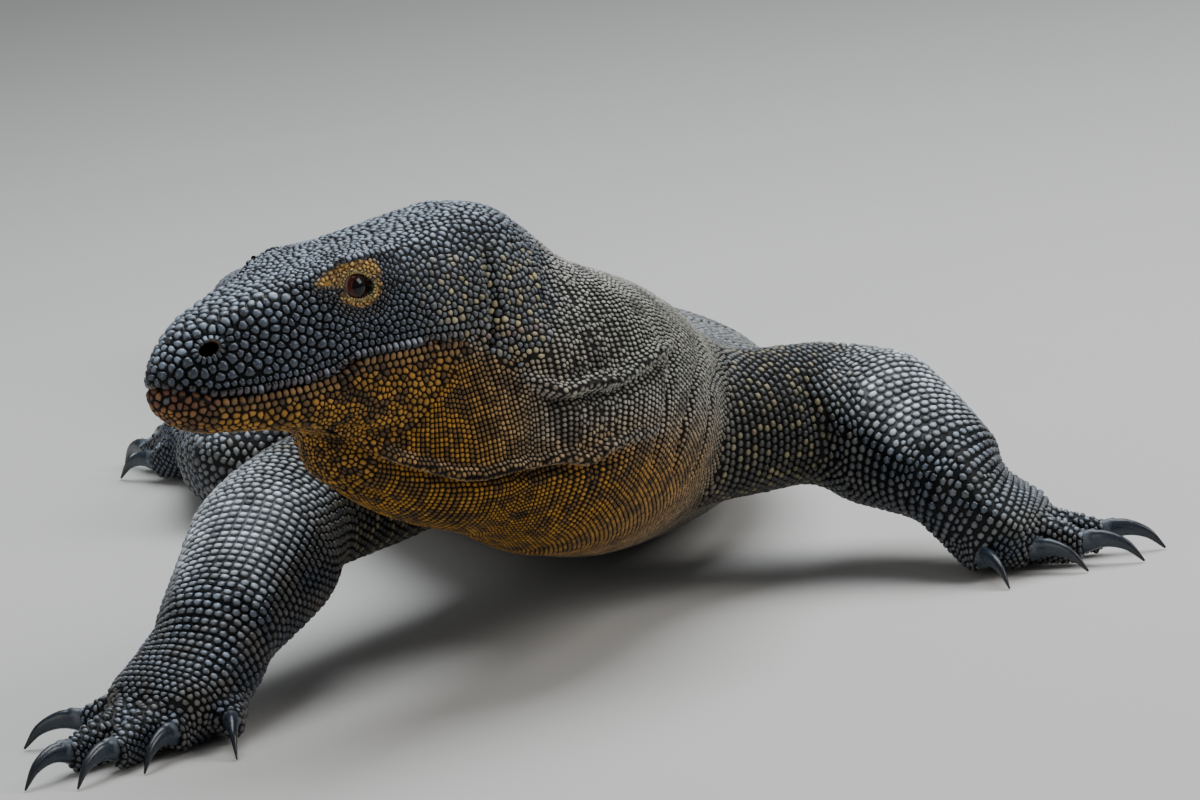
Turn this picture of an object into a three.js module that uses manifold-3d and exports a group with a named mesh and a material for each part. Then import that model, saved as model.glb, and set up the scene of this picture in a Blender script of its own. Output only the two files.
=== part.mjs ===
// A Komodo dragon lying at rest with its head raised and turned to its right, life size.
// Millimetres, +Z up, the animal facing -Y, its left side towards +X, the floor at z = 0.
// Every fleshy part is a loft: rings of points along a route, joined, then parted by thin cuts.
import * as THREE from "three";
import { mergeVertices } from "three/addons/utils/BufferGeometryUtils.js";
import Module from "manifold-3d";

const wasm = await Module();
wasm.setup();

// ---------------------------------------------------------------- driving dimensions
const GAP = 0.3; // clearance between neighbouring pieces
const REACH = 900; // longer than any stretch of the animal that a tool has to cross
const ROUND_END = 0.85; // how far a limb's end swells past its joint, in half heights

// The head's own frame: x towards the snout, y to the animal's left, z up, origin between the ears.
const EARS_AT = [-74, -160, 184];
const HEAD_TURN = 47.9; // degrees to the animal's right
const NOSE_UP = 4.6; // degrees
const SNOUT = 164; // ears to snout tip
const NAPE = -85; // where the skull's loft ends, inside the neck

// Half widths and heights of the head's section, at distances ahead of the ears.
const HEAD = {
  crown: [
    [-85, 6], [-60, 30], [-44, 41], [-22, 45.5], [10, 41.5], [50, 34], [75, 30], [100, 22],
    [138, 12], [152, 5], [164, -11],
  ],
  browWide: [
    [-85, 12], [-60, 20], [-20, 29], [30, 30], [70, 30], [100, 22], [138, 14.5], [150, 11],
    [159, 7.5], [164, 3],
  ],
  browHigh: [
    [-85, -2], [-60, 22], [-20, 39.5], [10, 37], [50, 32], [72, 31], [100, 20], [138, 7.5],
    [150, 1], [164, -12],
  ],
  cheekWide: [
    [-85, 26], [-50, 44], [10, 45], [30, 43], [70, 34], [100, 28], [138, 19], [150, 15],
    [159, 10], [164, 4],
  ],
  cheekHigh: [[-85, -22], [-40, -4], [30, 5], [70, 8], [85, 4], [120, -2], [150, -7], [164, -14]],
  lipWide: [
    [-85, 28], [-50, 46], [10, 45], [50, 41], [85, 33.5], [120, 25], [150, 15.5], [159, 10],
    [164, 3],
  ],
  lipHigh: [
    [-85, -36], [-40, -18], [30, -12], [70, -14], [85, -19.5], [120, -24], [150, -22],
    [164, -18],
  ],
  jawWide: [
    [-85, 22], [-50, 40], [10, 40], [50, 36], [85, 30], [120, 22], [150, 13], [159, 8.5],
    [164, 3],
  ],
  jawHigh: [
    [-85, -50], [-40, -62], [10, -56], [50, -48], [85, -42], [120, -38], [150, -33],
    [164, -25],
  ],
  chin: [[-85, -60], [-50, -84], [30, -70], [70, -52], [100, -44], [138, -41], [150, -38], [164, -27]],
};
const MOUTH_LINE = [
  [182, -18], [150, -24], [121, -24], [102, -22.7], [85, -19.6], [73, -14], [35, -11.5],
  [13, -12],
];
const JAW_REAR = [[13, -12], [70, -78]]; // from the mouth's corner down to the throat
// under the ear and up behind the crown
const HEAD_REAR = [
  [13, -12], [-4, -27], [-24, -22], [-33, 5], [-36, 78],
];

const EYE = { at: [67, 25.5, 17], radius: 8.5, opening: 6.5 };
const PITS = [
  { at: [-2, 46, 0], radii: [3.5, 5, 11] }, // ear
  { at: [144, 15, -1], radii: [5, 3.5, 3.6] }, // nostril
];

// The torso's stations from the throat to the tail's tip: [x, y, z, half width, rise, drop].
const THROAT = [
  [78, 0, -47, 3, 3, 3], [55, 0, -57, 30, 38, 26], [25, 0, -54, 42, 56, 50],
  [-10, 0, -46, 54, 66, 68],
];
const TORSO = [
  [-39, -130, 136, 64, 62, 82],
  [-20, -80, 122, 71, 60, 79],
  [-14, -20, 104, 76, 58, 76],
  [-12, 45, 86, 84, 48, 72],
  [-9, 110, 68, 98, 46, 64],
  [-12, 180, 59, 112, 50, 64],
  [-26, 260, 55, 116, 50, 60],
  [-50, 340, 52, 108, 50, 57],
  [-78, 410, 49, 90, 49, 54],
  [-99, 470, 46, 68, 47, 51],
  [-122, 535, 41, 51, 45, 47],
  [-148, 612, 38, 44, 42, 43],
  [-182, 700, 34, 37, 38, 39],
  [-206, 790, 30, 30, 34, 34],
  [-178, 880, 25, 25, 29, 29],
  [-118, 950, 21, 20.5, 25, 25],
  [-72, 1030, 17, 16, 20.5, 20.5],
  [-82, 1105, 13, 12, 16, 16],
  [-136, 1145, 10, 8.5, 12.5, 12.5],
  [-196, 1125, 7, 5.5, 8.5, 9],
  [-222, 1070, 4, 2, 3.5, 6],
];
const NECK_BASE = { at: [-13, 5, 95], size: 260 };
const TAIL_CUTS = [9.35, 12.5, 16]; // stations of TORSO where the tail's lengths part

// Each limb's joints, then its hand or foot: the turn in degrees from +X, how far its digits reach
// and spread, and how much a bent limb's muscles swell it.
const ARMS = {
  right: {
    root: [-70, 40, 84], bend: [-154, -70, 77], end: [-191, -163, 42],
    turn: 232, reach: 1, spread: -1,
  },
  left: {
    root: [40, -10, 80], bend: [118, 38, 76], end: [165, -26, 48],
    turn: -16, reach: 0.8, spread: 1.3, girth: 1.06,
  },
};
const LEGS = {
  right: {
    root: [-104, 440, 52], bend: [-198, 306, 36], end: [-212, 426, 22],
    turn: 104, reach: 0.95, spread: -1,
  },
  left: {
    root: [-52, 440, 52], bend: [64, 352, 36], end: [24, 462, 20],
    turn: 14, reach: 1, spread: 1,
  },
};
const ARM = { upper: 36, elbow: 33, fore: 38, wrist: [29, 24], sides: 11 };
const LEG = { upper: 40, elbow: 27, fore: 31, wrist: [25, 20], sides: 9 };
const WRIST_CUT = { back: 12, size: 3.6 }; // mm up the limb, and its size in wrist half widths
const KNEE_CUT = 8; // the cut at a limb's bend, in upper half widths

// Digits from the innermost out: where each leaves the palm and where its claw ends, as [turn, distance].
const FINGERS = [
  { root: [48, 28], tip: [44, 78] },
  { root: [24, 36], tip: [16, 90] },
  { root: [8, 45], tip: [5, 116] },
  { root: [-10, 44], tip: [-7, 124] },
  { root: [-36, 34], tip: [-49, 94] },
];
const TOES = [
  { root: [42, 34], tip: [38, 84] },
  { root: [22, 52], tip: [20, 118] },
  { root: [7, 58], tip: [6, 146] },
  { root: [-9, 56], tip: [-8, 158] },
  { root: [-36, 34], tip: [-44, 104] },
];
const DIGIT = { root: 9.5, end: 6.2, knuckle: 20, middle: 15.5, nail: 11 };
const CLAW = { length: 28, wide: 4.2, high: 5.4, tip: 0.7, arch: 9 };

const COLOURS = {
  head: [0x232b36, 0.4],
  jaw: [0x5a4326, 0.5],
  neck: [0x6f5a36, 0.55],
  trunk: [0x4d4a40, 0.6],
  limb: [0x3a4450, 0.45],
  claw: [0x14171c, 0.2],
  eye: [0x2a170a, 0.05],
};

// ---------------------------------------------------------------- making solids
const UP = new THREE.Vector3(0, 0, 1);
const vec = (p) => new THREE.Vector3(...p);
const radians = THREE.MathUtils.degToRad;
const level = (turn) => new THREE.Vector3(Math.cos(radians(turn)), Math.sin(radians(turn)), 0);

function solidOf(geometry) {
  geometry.deleteAttribute("normal");
  geometry.deleteAttribute("uv");
  const merged = mergeVertices(geometry, 1e-3);
  const made = new wasm.Manifold(
    new wasm.Mesh({
      numProp: 3,
      vertProperties: merged.attributes.position.array,
      triVerts: new Uint32Array(merged.index.array),
    }),
  );
  if (made.volume() < 0) throw new Error("a loft is inside out");
  return made;
}

const join = (solids) => solids.reduce((all, next) => all.add(next));

// A closed body of rings: place(t, angle) is a point of its surface, and place(t, null) its middle.
function ringed(sides, rings, place) {
  const geometry = new THREE.CylinderGeometry(1, 1, 1, sides, rings);
  const spots = geometry.attributes.position;
  for (let i = 0; i < spots.count; i++) {
    const onAxis = Math.hypot(spots.getX(i), spots.getZ(i)) < 0.5;
    const angle = onAxis ? null : Math.atan2(spots.getZ(i), spots.getX(i));
    const point = place(0.5 - spots.getY(i), angle);
    spots.setXYZ(i, point.x, point.y, point.z);
  }
  return solidOf(geometry);
}

// A loft through stations [x, y, z, half width, rise, drop], with its rings square to the route.
function loft(stations, sides, rings, { fullness = 2.2, spare = 0 } = {}) {
  const route = new THREE.CatmullRomCurve3(stations.map((s) => vec(s.slice(0, 3))));
  const girths = stations.map((s) => new THREE.Vector3(s[3] + spare, s[4] + spare, s[5] + spare));
  const girth = new THREE.CatmullRomCurve3(girths, false, "catmullrom");
  const swell = (v) => Math.sign(v) * Math.abs(v) ** (2 / fullness);
  return ringed(sides, rings, (t, angle) => {
    const centre = route.getPoint(t);
    if (angle === null) return centre;
    const ahead = route.getTangent(t);
    const across = new THREE.Vector3().crossVectors(UP, ahead).normalize();
    const above = new THREE.Vector3().crossVectors(ahead, across);
    const size = girth.getPoint(t);
    const lift = swell(Math.sin(angle)) * (Math.sin(angle) > 0 ? size.y : size.z);
    const spread = swell(Math.cos(angle)) * size.x;
    return centre.addScaledVector(across, spread).addScaledVector(above, lift);
  });
}

// The route of a limb's length with a round end past each joint: radii are [half width, half height].
function boned(from, to, radii) {
  const axis = to.clone().sub(from);
  const step = axis.length();
  axis.normalize();
  const at = (s, [wide, high], k = 1) => {
    const spot = from.clone().addScaledVector(axis, s);
    return [...spot.toArray(), wide * k, high * k, high * k];
  };
  const first = radii[0];
  const last = radii[radii.length - 1];
  return [
    at(-ROUND_END * first[1], first, 0.5),
    ...radii.map((r, i) => at((step * i) / (radii.length - 1), r)),
    at(step + ROUND_END * last[1], last, 0.5),
  ];
}

// A thin slab square to `along`, which parts whatever it crosses.
function slab(at, along, size) {
  const face = new THREE.BoxGeometry(size, size, GAP);
  face.applyQuaternion(new THREE.Quaternion().setFromUnitVectors(UP, along.clone().normalize()));
  return solidOf(face.translate(at.x, at.y, at.z));
}

// A smooth curve through [distance, value] pairs, read at any distance between them.
function profile(pairs) {
  const slope = (i) => {
    const [before, after] = [pairs[Math.max(i - 1, 0)], pairs[Math.min(i + 1, pairs.length - 1)]];
    return (after[1] - before[1]) / (after[0] - before[0]);
  };
  return (x) => {
    const i = Math.max(0, Math.min(pairs.length - 2, pairs.findIndex(([at]) => at >= x) - 1));
    const span = pairs[i + 1][0] - pairs[i][0];
    const u = (x - pairs[i][0]) / span;
    const [a, b] = [pairs[i][1], pairs[i + 1][1]];
    const [p, q] = [slope(i) * span, slope(i + 1) * span];
    return a + u * (p + u * (3 * (b - a) - 2 * p - q + u * (2 * (a - b) + p + q)));
  };
}

const FLOOR = solidOf(new THREE.BoxGeometry(4 * REACH, 4 * REACH, REACH).translate(0, 0, -REACH / 2));

// ---------------------------------------------------------------- head and torso
const forward = level(-90 - HEAD_TURN)
  .multiplyScalar(Math.cos(radians(NOSE_UP)))
  .addScaledVector(UP, Math.sin(radians(NOSE_UP)));
const leftward = new THREE.Vector3().crossVectors(UP, forward).normalize();
const headFrame = new THREE.Matrix4()
  .makeBasis(forward, leftward, new THREE.Vector3().crossVectors(forward, leftward))
  .setPosition(vec(EARS_AT));
const onHead = (p) => vec(p).applyMatrix4(headFrame);

function skull() {
  const read = Object.fromEntries(Object.entries(HEAD).map(([name, pairs]) => [name, profile(pairs)]));
  return ringed(20, 18, (t, angle) => {
    const x = SNOUT - (SNOUT - NAPE) * t ** 1.35;
    if (angle === null) return onHead([x, 0, (read.crown(x) + read.chin(x)) / 2]);
    const side = ["brow", "cheek", "lip", "jaw"].map((n) => [read[n + "Wide"](x), read[n + "High"](x)]);
    const outline = [
      new THREE.Vector3(0, 0, read.crown(x)),
      ...side.map(([y, z]) => new THREE.Vector3(0, y, z)),
      new THREE.Vector3(0, 0, read.chin(x)),
      ...side.reverse().map(([y, z]) => new THREE.Vector3(0, -y, z)),
    ];
    const section = new THREE.CatmullRomCurve3(outline, true);
    const u = (angle / (2 * Math.PI) + 0.75) % 1;
    return section.getPoint((u + 1) % 1).setX(x).applyMatrix4(headFrame);
  });
}

// A thin sheet right across the head, on a line of [ahead, up] points.
function headSheet(line) {
  const outline = new THREE.Shape();
  const edge = (shift) => line.map(([x, z], i) => {
    const [a, b] = [line[Math.max(i - 1, 0)], line[Math.min(i + 1, line.length - 1)]];
    const along = new THREE.Vector2(b[0] - a[0], b[1] - a[1]).normalize();
    return new THREE.Vector2(x - along.y * shift, z + along.x * shift);
  });
  outline.setFromPoints([...edge(GAP / 2), ...edge(-GAP / 2).reverse()]);
  const sheet = new THREE.ExtrudeGeometry(outline, { depth: 240, bevelEnabled: false });
  return solidOf(sheet.translate(0, 0, -120).rotateX(Math.PI / 2).applyMatrix4(headFrame));
}

const torsoStations = [...THROAT.map((s) => [...onHead(s.slice(0, 3)).toArray(), ...s.slice(3)]), ...TORSO];
const torso = (spare) => loft(torsoStations, 18, 34, { fullness: 2.05, spare });
const station = (n) => (THROAT.length + n) / (torsoStations.length - 1);
const spine = new THREE.CatmullRomCurve3(torsoStations.map((s) => vec(s.slice(0, 3))));

function eyeball(side, spare) {
  const centre = onHead([EYE.at[0], side * EYE.at[1], EYE.at[2]]);
  const ball = new THREE.SphereGeometry(EYE.radius + spare, 10, 6);
  return solidOf(ball.translate(centre.x, centre.y, centre.z));
}

function socket(side) {
  const bore = new THREE.CylinderGeometry(EYE.opening, EYE.opening, 30, 8);
  const out = leftward.clone().multiplyScalar(side);
  const turn = new THREE.Quaternion().setFromUnitVectors(new THREE.Vector3(0, 1, 0), out);
  bore.translate(0, 15, 0).applyQuaternion(turn);
  const centre = onHead([EYE.at[0], side * EYE.at[1], EYE.at[2]]);
  return solidOf(bore.translate(centre.x, centre.y, centre.z)).add(eyeball(side, GAP));
}

function pit({ at: [x, y, z], radii }, side) {
  const hollow = new THREE.SphereGeometry(1, 8, 6).scale(...radii).translate(x, side * y, z);
  return solidOf(hollow.applyMatrix4(headFrame));
}

// ---------------------------------------------------------------- limbs
const outline = torso(GAP);
const SIDES = { right: -1, left: 1 };

function digitRoutes(limb, table) {
  const end = vec(limb.end);
  const spot = ([turn, distance], z) => {
    const out = level(limb.turn - turn * limb.spread).multiplyScalar(distance * limb.reach);
    return end.clone().add(out).setZ(z);
  };
  return table.map(({ root, tip }) => {
    const from = spot(root, DIGIT.knuckle);
    const claw = spot(tip, CLAW.tip);
    const ahead = claw.clone().sub(from).setZ(0).normalize();
    const nail = claw.clone().addScaledVector(ahead, -CLAW.length).setZ(DIGIT.nail);
    return { from, nail, claw, ahead };
  });
}

function digit({ from, nail, ahead }, spare = 0) {
  const { root, end: thin, knuckle, middle: low, nail: lowest } = DIGIT;
  const back = from.clone().addScaledVector(ahead, -14).setZ(knuckle - 2);
  const middle = from.clone().lerp(nail, 0.55).setZ(low);
  const end = nail.clone().addScaledVector(ahead, spare);
  return loft(
    [
      [...back.toArray(), root * 0.8, root * 0.8, root],
      [...from.toArray(), root, root, knuckle - 1],
      [...middle.toArray(), (root + thin) / 2, (root + thin) / 2, low + 0.5],
      [...end.toArray(), thin, thin, lowest + 0.4],
    ],
    6,
    3,
    { spare },
  );
}

// A claw, arched from inside the digit's end down to the floor, and trimmed to the digit.
function claw(route) {
  const base = route.nail.clone().addScaledVector(route.ahead, -2);
  const at = (share, lift) => base.clone().lerp(route.claw, share).addScaledVector(UP, lift).toArray();
  const { wide, high, arch, tip } = CLAW;
  return loft(
    [
      [...at(0, 0), wide, high, high],
      [...at(0.35, arch * 0.6), wide * 0.85, high * 0.8, high * 0.8],
      [...at(0.72, arch * 0.62), wide * 0.5, high * 0.5, high * 0.45],
      [...at(1, 0), tip * 0.8, tip * 0.8, tip * 0.6],
    ],
    5,
    3,
    { fullness: 2 },
  ).subtract(digit(route, GAP));
}

function palm(limb, size, table, girth) {
  const end = vec(limb.end);
  const ahead = level(limb.turn);
  const [wide, high] = size.wrist.map((radius) => radius * girth);
  const length = table[2].root[1] * limb.reach;
  const at = (s, z) => end.clone().addScaledVector(ahead, s).setZ(z).toArray();
  return loft(
    [
      [...at(-18, end.z + 3), wide * 0.7, high * 0.7, high * 0.7],
      [...at(0, end.z - 4), wide, high, high],
      [...at(length * 0.5, 28), wide * 1.12, 18, 30],
      [...at(length, 22), wide * 1.05, 12, 24],
      [...at(length * 1.15, 19), wide * 0.8, 8, 20],
    ],
    10,
    4,
    { fullness: 2.4 },
  );
}

function limbSolids(limb, size, table) {
  const [root, bend, end] = [limb.root, limb.bend, limb.end].map(vec);
  const { girth = 1 } = limb;
  const round = (radius) => [radius, radius];
  const wrist = size.wrist.map((radius) => radius * girth);
  const taper = wrist.map((radius) => (size.fore * girth + radius) / 2);
  const upper = boned(root, bend, [round(size.upper), round(size.upper), round(size.elbow)]);
  const lower = boned(bend, end, [round(size.elbow), round(size.fore * girth), taper, wrist]);
  const routes = digitRoutes(limb, table);
  const flesh = join([
    loft(upper, size.sides, 4),
    loft(lower, size.sides, 5),
    palm(limb, size, table, girth),
    ...routes.map((route) => digit(route)),
  ]);
  const shaft = end.clone().sub(bend).normalize();
  const fold = bend.clone().sub(root).normalize().add(shaft);
  const heading = level(limb.turn);
  const wristCut = end.clone().addScaledVector(shaft, -WRIST_CUT.back);
  const parted = flesh
    .subtract(outline)
    .subtract(FLOOR)
    .subtract(slab(bend, fold, KNEE_CUT * size.upper))
    .subtract(slab(wristCut, heading.add(shaft).setZ(0), WRIST_CUT.size * size.wrist[0]));
  return { parted, claws: routes.map(claw) };
}

// ---------------------------------------------------------------- the group of named meshes
const dragon = new THREE.Group();

function place(name, solid, [colour, roughness]) {
  const { vertProperties, triVerts } = solid.getMesh();
  const geometry = new THREE.BufferGeometry();
  geometry.setAttribute("position", new THREE.BufferAttribute(vertProperties, 3));
  geometry.setIndex(new THREE.BufferAttribute(triVerts, 1));
  geometry.computeVertexNormals();
  const material = new THREE.MeshStandardMaterial({ color: colour, roughness, metalness: 0 });
  const mesh = new THREE.Mesh(geometry, material);
  mesh.name = name;
  dragon.add(mesh);
}

// Names each loose piece of a parted solid by the seed point that it lies nearest to.
function placePieces(solid, seeds) {
  const pieces = solid.decompose().map((piece) => {
    const { min, max } = piece.boundingBox();
    return { piece, middle: vec(min).add(vec(max)).multiplyScalar(0.5) };
  });
  if (pieces.length !== Object.keys(seeds).length) {
    throw new Error(`${pieces.length} pieces for ${Object.keys(seeds)}`);
  }
  for (const [name, [seed, colour]] of Object.entries(seeds)) {
    pieces.sort((a, b) => a.middle.distanceTo(seed) - b.middle.distanceTo(seed));
    place(name, pieces.shift().piece, colour);
  }
}

const tailPoints = TAIL_CUTS.map((n) => [spine.getPoint(station(n)), spine.getTangent(station(n))]);
const cuts = [
  headSheet(MOUTH_LINE),
  headSheet(JAW_REAR),
  headSheet(HEAD_REAR),
  slab(vec(NECK_BASE.at), spine.getTangent(station(2.3)), NECK_BASE.size),
  ...tailPoints.map(([at, along]) => slab(at, along, 200)),
];
const hollows = [1, -1].flatMap((side) => [socket(side), ...PITS.map((p) => pit(p, side))]);
const whole = skull().add(torso(0)).subtract(FLOOR).subtract(join([...hollows, ...cuts]));
placePieces(whole, {
  lower_jaw: [onHead([110, 0, -35]), COLOURS.jaw],
  head: [onHead([75, 0, 10]), COLOURS.head],
  neck: [vec([-50, -90, 130]), COLOURS.neck],
  trunk: [vec([-20, 220, 60]), COLOURS.trunk],
  tail_base: [spine.getPoint(station(11)), COLOURS.trunk],
  tail_middle: [spine.getPoint(station(14)), COLOURS.trunk],
  tail_tip: [spine.getPoint(station(18)), COLOURS.trunk],
});

for (const [side, sign] of Object.entries(SIDES)) {
  place(`eye_${side}`, eyeball(sign, 0), COLOURS.eye);
  const limbs = [
    [ARMS[side], ARM, FINGERS, ["upper_arm", "forearm", "hand"], "finger"],
    [LEGS[side], LEG, TOES, ["thigh", "shank", "foot"], "toe"],
  ];
  for (const [limb, size, table, names, digitName] of limbs) {
    const { parted, claws } = limbSolids(limb, size, table);
    const [root, bend, end] = [limb.root, limb.bend, limb.end].map(vec);
    const palmMiddle = end.clone().addScaledVector(level(limb.turn), 50);
    const middles = [root.clone().lerp(bend, 0.6), bend.clone().lerp(end, 0.5), palmMiddle];
    const seeds = names.map((name, i) => [`${name}_${side}`, [middles[i], COLOURS.limb]]);
    placePieces(parted, Object.fromEntries(seeds));
    claws.forEach((solid, i) => place(`${digitName}_claw_${i + 1}_${side}`, solid, COLOURS.claw));
  }
}

// The origin is at the middle of the animal's box, on the floor.
const middle = new THREE.Box3().setFromObject(dragon).getCenter(new THREE.Vector3());
dragon.position.set(-middle.x, -middle.y, 0);

export default dragon;
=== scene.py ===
import math

import bmesh
import bpy
import numpy as np
from mathutils import Matrix, Vector, kdtree, noise
from mathutils.bvhtree import BVHTree


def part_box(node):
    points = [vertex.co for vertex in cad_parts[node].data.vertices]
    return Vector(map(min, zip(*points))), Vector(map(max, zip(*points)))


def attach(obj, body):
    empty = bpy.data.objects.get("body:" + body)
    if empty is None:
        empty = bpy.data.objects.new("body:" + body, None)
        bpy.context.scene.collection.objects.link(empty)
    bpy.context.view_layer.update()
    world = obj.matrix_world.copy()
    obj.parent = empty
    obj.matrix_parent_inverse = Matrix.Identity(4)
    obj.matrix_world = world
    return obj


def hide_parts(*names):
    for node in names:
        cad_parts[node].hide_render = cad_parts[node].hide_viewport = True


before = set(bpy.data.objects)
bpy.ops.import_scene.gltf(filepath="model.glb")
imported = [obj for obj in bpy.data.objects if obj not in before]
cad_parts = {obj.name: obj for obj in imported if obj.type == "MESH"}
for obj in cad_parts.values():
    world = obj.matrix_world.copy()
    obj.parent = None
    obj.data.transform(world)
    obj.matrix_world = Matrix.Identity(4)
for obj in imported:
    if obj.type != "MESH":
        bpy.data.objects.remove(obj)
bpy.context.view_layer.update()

# Where the animal lies.
# The two eyes fix the head, and the head fixes the rest: every size below is in millimetres,
# the animal facing -Y with its left side towards +X, and the floor at z = 0.
MM = 0.001
NOSE_UP = math.radians(4.6)
EYE_AHEAD, EYE_UP = 67, 17  # the eyes' middle from the middle of the ears
EARS = np.array([-74, -160, 184.0])
EYE_RADIUS = 8.5
SIDES = {"right": -1, "left": 1}


def unit(v):
    return v / np.maximum(np.linalg.norm(v, axis=-1, keepdims=True), 1e-9)


def eye_middle(side):
    low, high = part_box(f"eye_{side}")
    return np.array((low + high) / 2) / MM


leftward = unit(eye_middle("left") - eye_middle("right"))
level = np.cross(leftward, [0, 0, 1])
forward = level * math.cos(NOSE_UP) + np.array([0, 0, math.sin(NOSE_UP)])
upward = np.cross(forward, leftward)
HEAD_AXES = np.array([forward, leftward, upward])
ears = (eye_middle("left") + eye_middle("right")) / 2 - forward * EYE_AHEAD - upward * EYE_UP
home = ears - EARS


def on_head(points):
    """Points ahead of, left of and above the ears' middle, in the body's own millimetres."""
    return EARS + np.asarray(points, float) @ HEAD_AXES


def from_head(points):
    return (np.asarray(points, float) - EARS) @ HEAD_AXES.T


# The camera, low in front of the animal and a little to its right, far off with a long lens.
# It leans a few degrees, as a camera held by hand beside the ground does.
TARGET = np.array([0, 0, 100.0])
DISTANCE, RISE, LEAN = 3000, math.radians(10.5), math.radians(-7)
PIXELS_PER_MM = 2.05
FRAME_WIDTH, FRAME_HEIGHT = 1200, 800
SENSOR = 36
SIGHT = 100  # how far the camera sees, in metres

to_camera = np.array([0, -math.cos(RISE), math.sin(RISE)])
level_right = np.array([1.0, 0, 0])
level_up = np.cross(to_camera, level_right)
camera_right = level_right * math.cos(LEAN) + level_up * math.sin(LEAN)
camera_up = level_up * math.cos(LEAN) - level_right * math.sin(LEAN)
camera_at = TARGET + to_camera * DISTANCE

lens = bpy.data.cameras.new("camera")
lens.sensor_width = SENSOR
lens.lens = SENSOR * PIXELS_PER_MM * DISTANCE / FRAME_WIDTH
lens.clip_end = SIGHT
camera = bpy.data.objects.new("camera", lens)
bpy.context.scene.collection.objects.link(camera)
turn = Matrix([camera_right, camera_up, to_camera]).transposed().to_4x4()
camera.matrix_world = Matrix.Translation((camera_at + home) * MM) @ turn
bpy.context.scene.camera = camera


def sight_line(px, py):
    """The direction from the camera through a spot of its 1200 x 800 frame."""
    across = (px - FRAME_WIDTH / 2) / (PIXELS_PER_MM * DISTANCE)
    above = (FRAME_HEIGHT / 2 - py) / (PIXELS_PER_MM * DISTANCE)
    return unit(camera_right * across + camera_up * above - to_camera)


class Wire:
    """A socket of a material's nodes, so that shader maths reads as plain sums."""

    def __init__(self, finish, socket):
        self.finish, self.socket = finish, socket

    def _maths(self, operation, first, second):
        return self.finish.node("ShaderNodeMath", {"operation": operation}, {0: first, 1: second})

    def __add__(self, other):
        return self._maths("ADD", self, other)

    def __radd__(self, other):
        return self._maths("ADD", other, self)

    def __sub__(self, other):
        return self._maths("SUBTRACT", self, other)

    def __rsub__(self, other):
        return self._maths("SUBTRACT", other, self)

    def __mul__(self, other):
        return self._maths("MULTIPLY", self, other)

    def __rmul__(self, other):
        return self._maths("MULTIPLY", other, self)


class Finish:
    """A material made of nodes: node() adds any node, set and wired in one call."""

    def __init__(self, name):
        self.material = bpy.data.materials.new(name)
        self.material.use_nodes = True
        self.nodes = self.material.node_tree.nodes
        self.links = self.material.node_tree.links
        self.shader = self.nodes["Principled BSDF"]

    def _fill(self, node, inputs):
        for name, value in inputs.items():
            if isinstance(value, Wire):
                self.links.new(value.socket, node.inputs[name])
            else:
                node.inputs[name].default_value = value

    def node(self, kind, settings=None, inputs=None, output=0):
        node = self.nodes.new(kind)
        for name, value in (settings or {}).items():
            setattr(node, name, value)
        self._fill(node, inputs or {})
        return Wire(self, node.outputs[output])

    def shade(self, **inputs):
        self._fill(self.shader, {name.replace("_", " "): value for name, value in inputs.items()})

    def read(self, name, output="Fac"):
        return self.node("ShaderNodeAttribute", {"attribute_name": name}, output=output)

    def blend(self, factor, first, second, how="MIX"):
        settings = {"data_type": "RGBA", "blend_type": how}
        inputs = {0: factor}
        for index, colour in ((6, first), (7, second)):
            inputs[index] = colour if isinstance(colour, Wire) else (*colour, 1)
        return self.node("ShaderNodeMix", settings, inputs, output=2)

    def between(self, value, low, high, start=0.0, end=1.0):
        """value, spread from low..high to start..end with soft ends."""
        settings = {"interpolation_type": "SMOOTHSTEP"}
        return self.node("ShaderNodeMapRange", settings, {0: value, 1: low, 2: high, 3: start, 4: end})

    def cloud(self, place, scale, detail=3.0, roughness=0.5):
        inputs = {"Scale": scale, "Detail": detail, "Roughness": roughness}
        if place is not None:
            inputs["Vector"] = place
        return self.node("ShaderNodeTexNoise", {}, inputs)


def new_mesh_object(name, points, triangles):
    """An object of points in millimetres and triangles."""
    mesh = bpy.data.meshes.new(name)
    points = (np.asarray(points, float) + home) * MM
    triangles = np.asarray(triangles, np.int32)
    mesh.vertices.add(len(points))
    mesh.vertices.foreach_set("co", points.astype(np.float32).ravel())
    mesh.loops.add(triangles.size)
    mesh.loops.foreach_set("vertex_index", triangles.ravel())
    mesh.polygons.add(len(triangles))
    mesh.polygons.foreach_set("loop_start", np.arange(0, triangles.size, 3, dtype=np.int32))
    mesh.update(calc_edges=True)
    mesh.validate()
    mesh.shade_smooth()
    made = bpy.data.objects.new(name, mesh)
    bpy.context.scene.collection.objects.link(made)
    return made


# The studio: one wide pale sheet of paper as the floor, and soft lights. A wide light hangs
# over the animal, as an open sky does, with one at its left and a low one for the near side.
FLOOR_COLOUR = (0.62, 0.61, 0.59)
FLOOR_HALF = 30  # metres
PAPER_SPECK = 0.96
WORLD_COLOUR, WORLD_STRENGTH = (0.72, 0.76, 0.8, 1), 0.28

floor_mesh = bpy.data.meshes.new("studio_floor")
floor_corners = [(x * FLOOR_HALF, y * FLOOR_HALF, 0) for x, y in ((-1, -1), (1, -1), (1, 1), (-1, 1))]
floor_mesh.from_pydata(floor_corners, [], [(0, 1, 2, 3)])
floor = bpy.data.objects.new("studio_floor", floor_mesh)
bpy.context.scene.collection.objects.link(floor)
paper = Finish("studio_paper")
grain = paper.cloud(None, 300, 2)
speckled = paper.blend(grain, FLOOR_COLOUR, [c * PAPER_SPECK for c in FLOOR_COLOUR])
paper.shade(Base_Color=speckled, Roughness=0.9)
floor_mesh.materials.append(paper.material)

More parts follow.
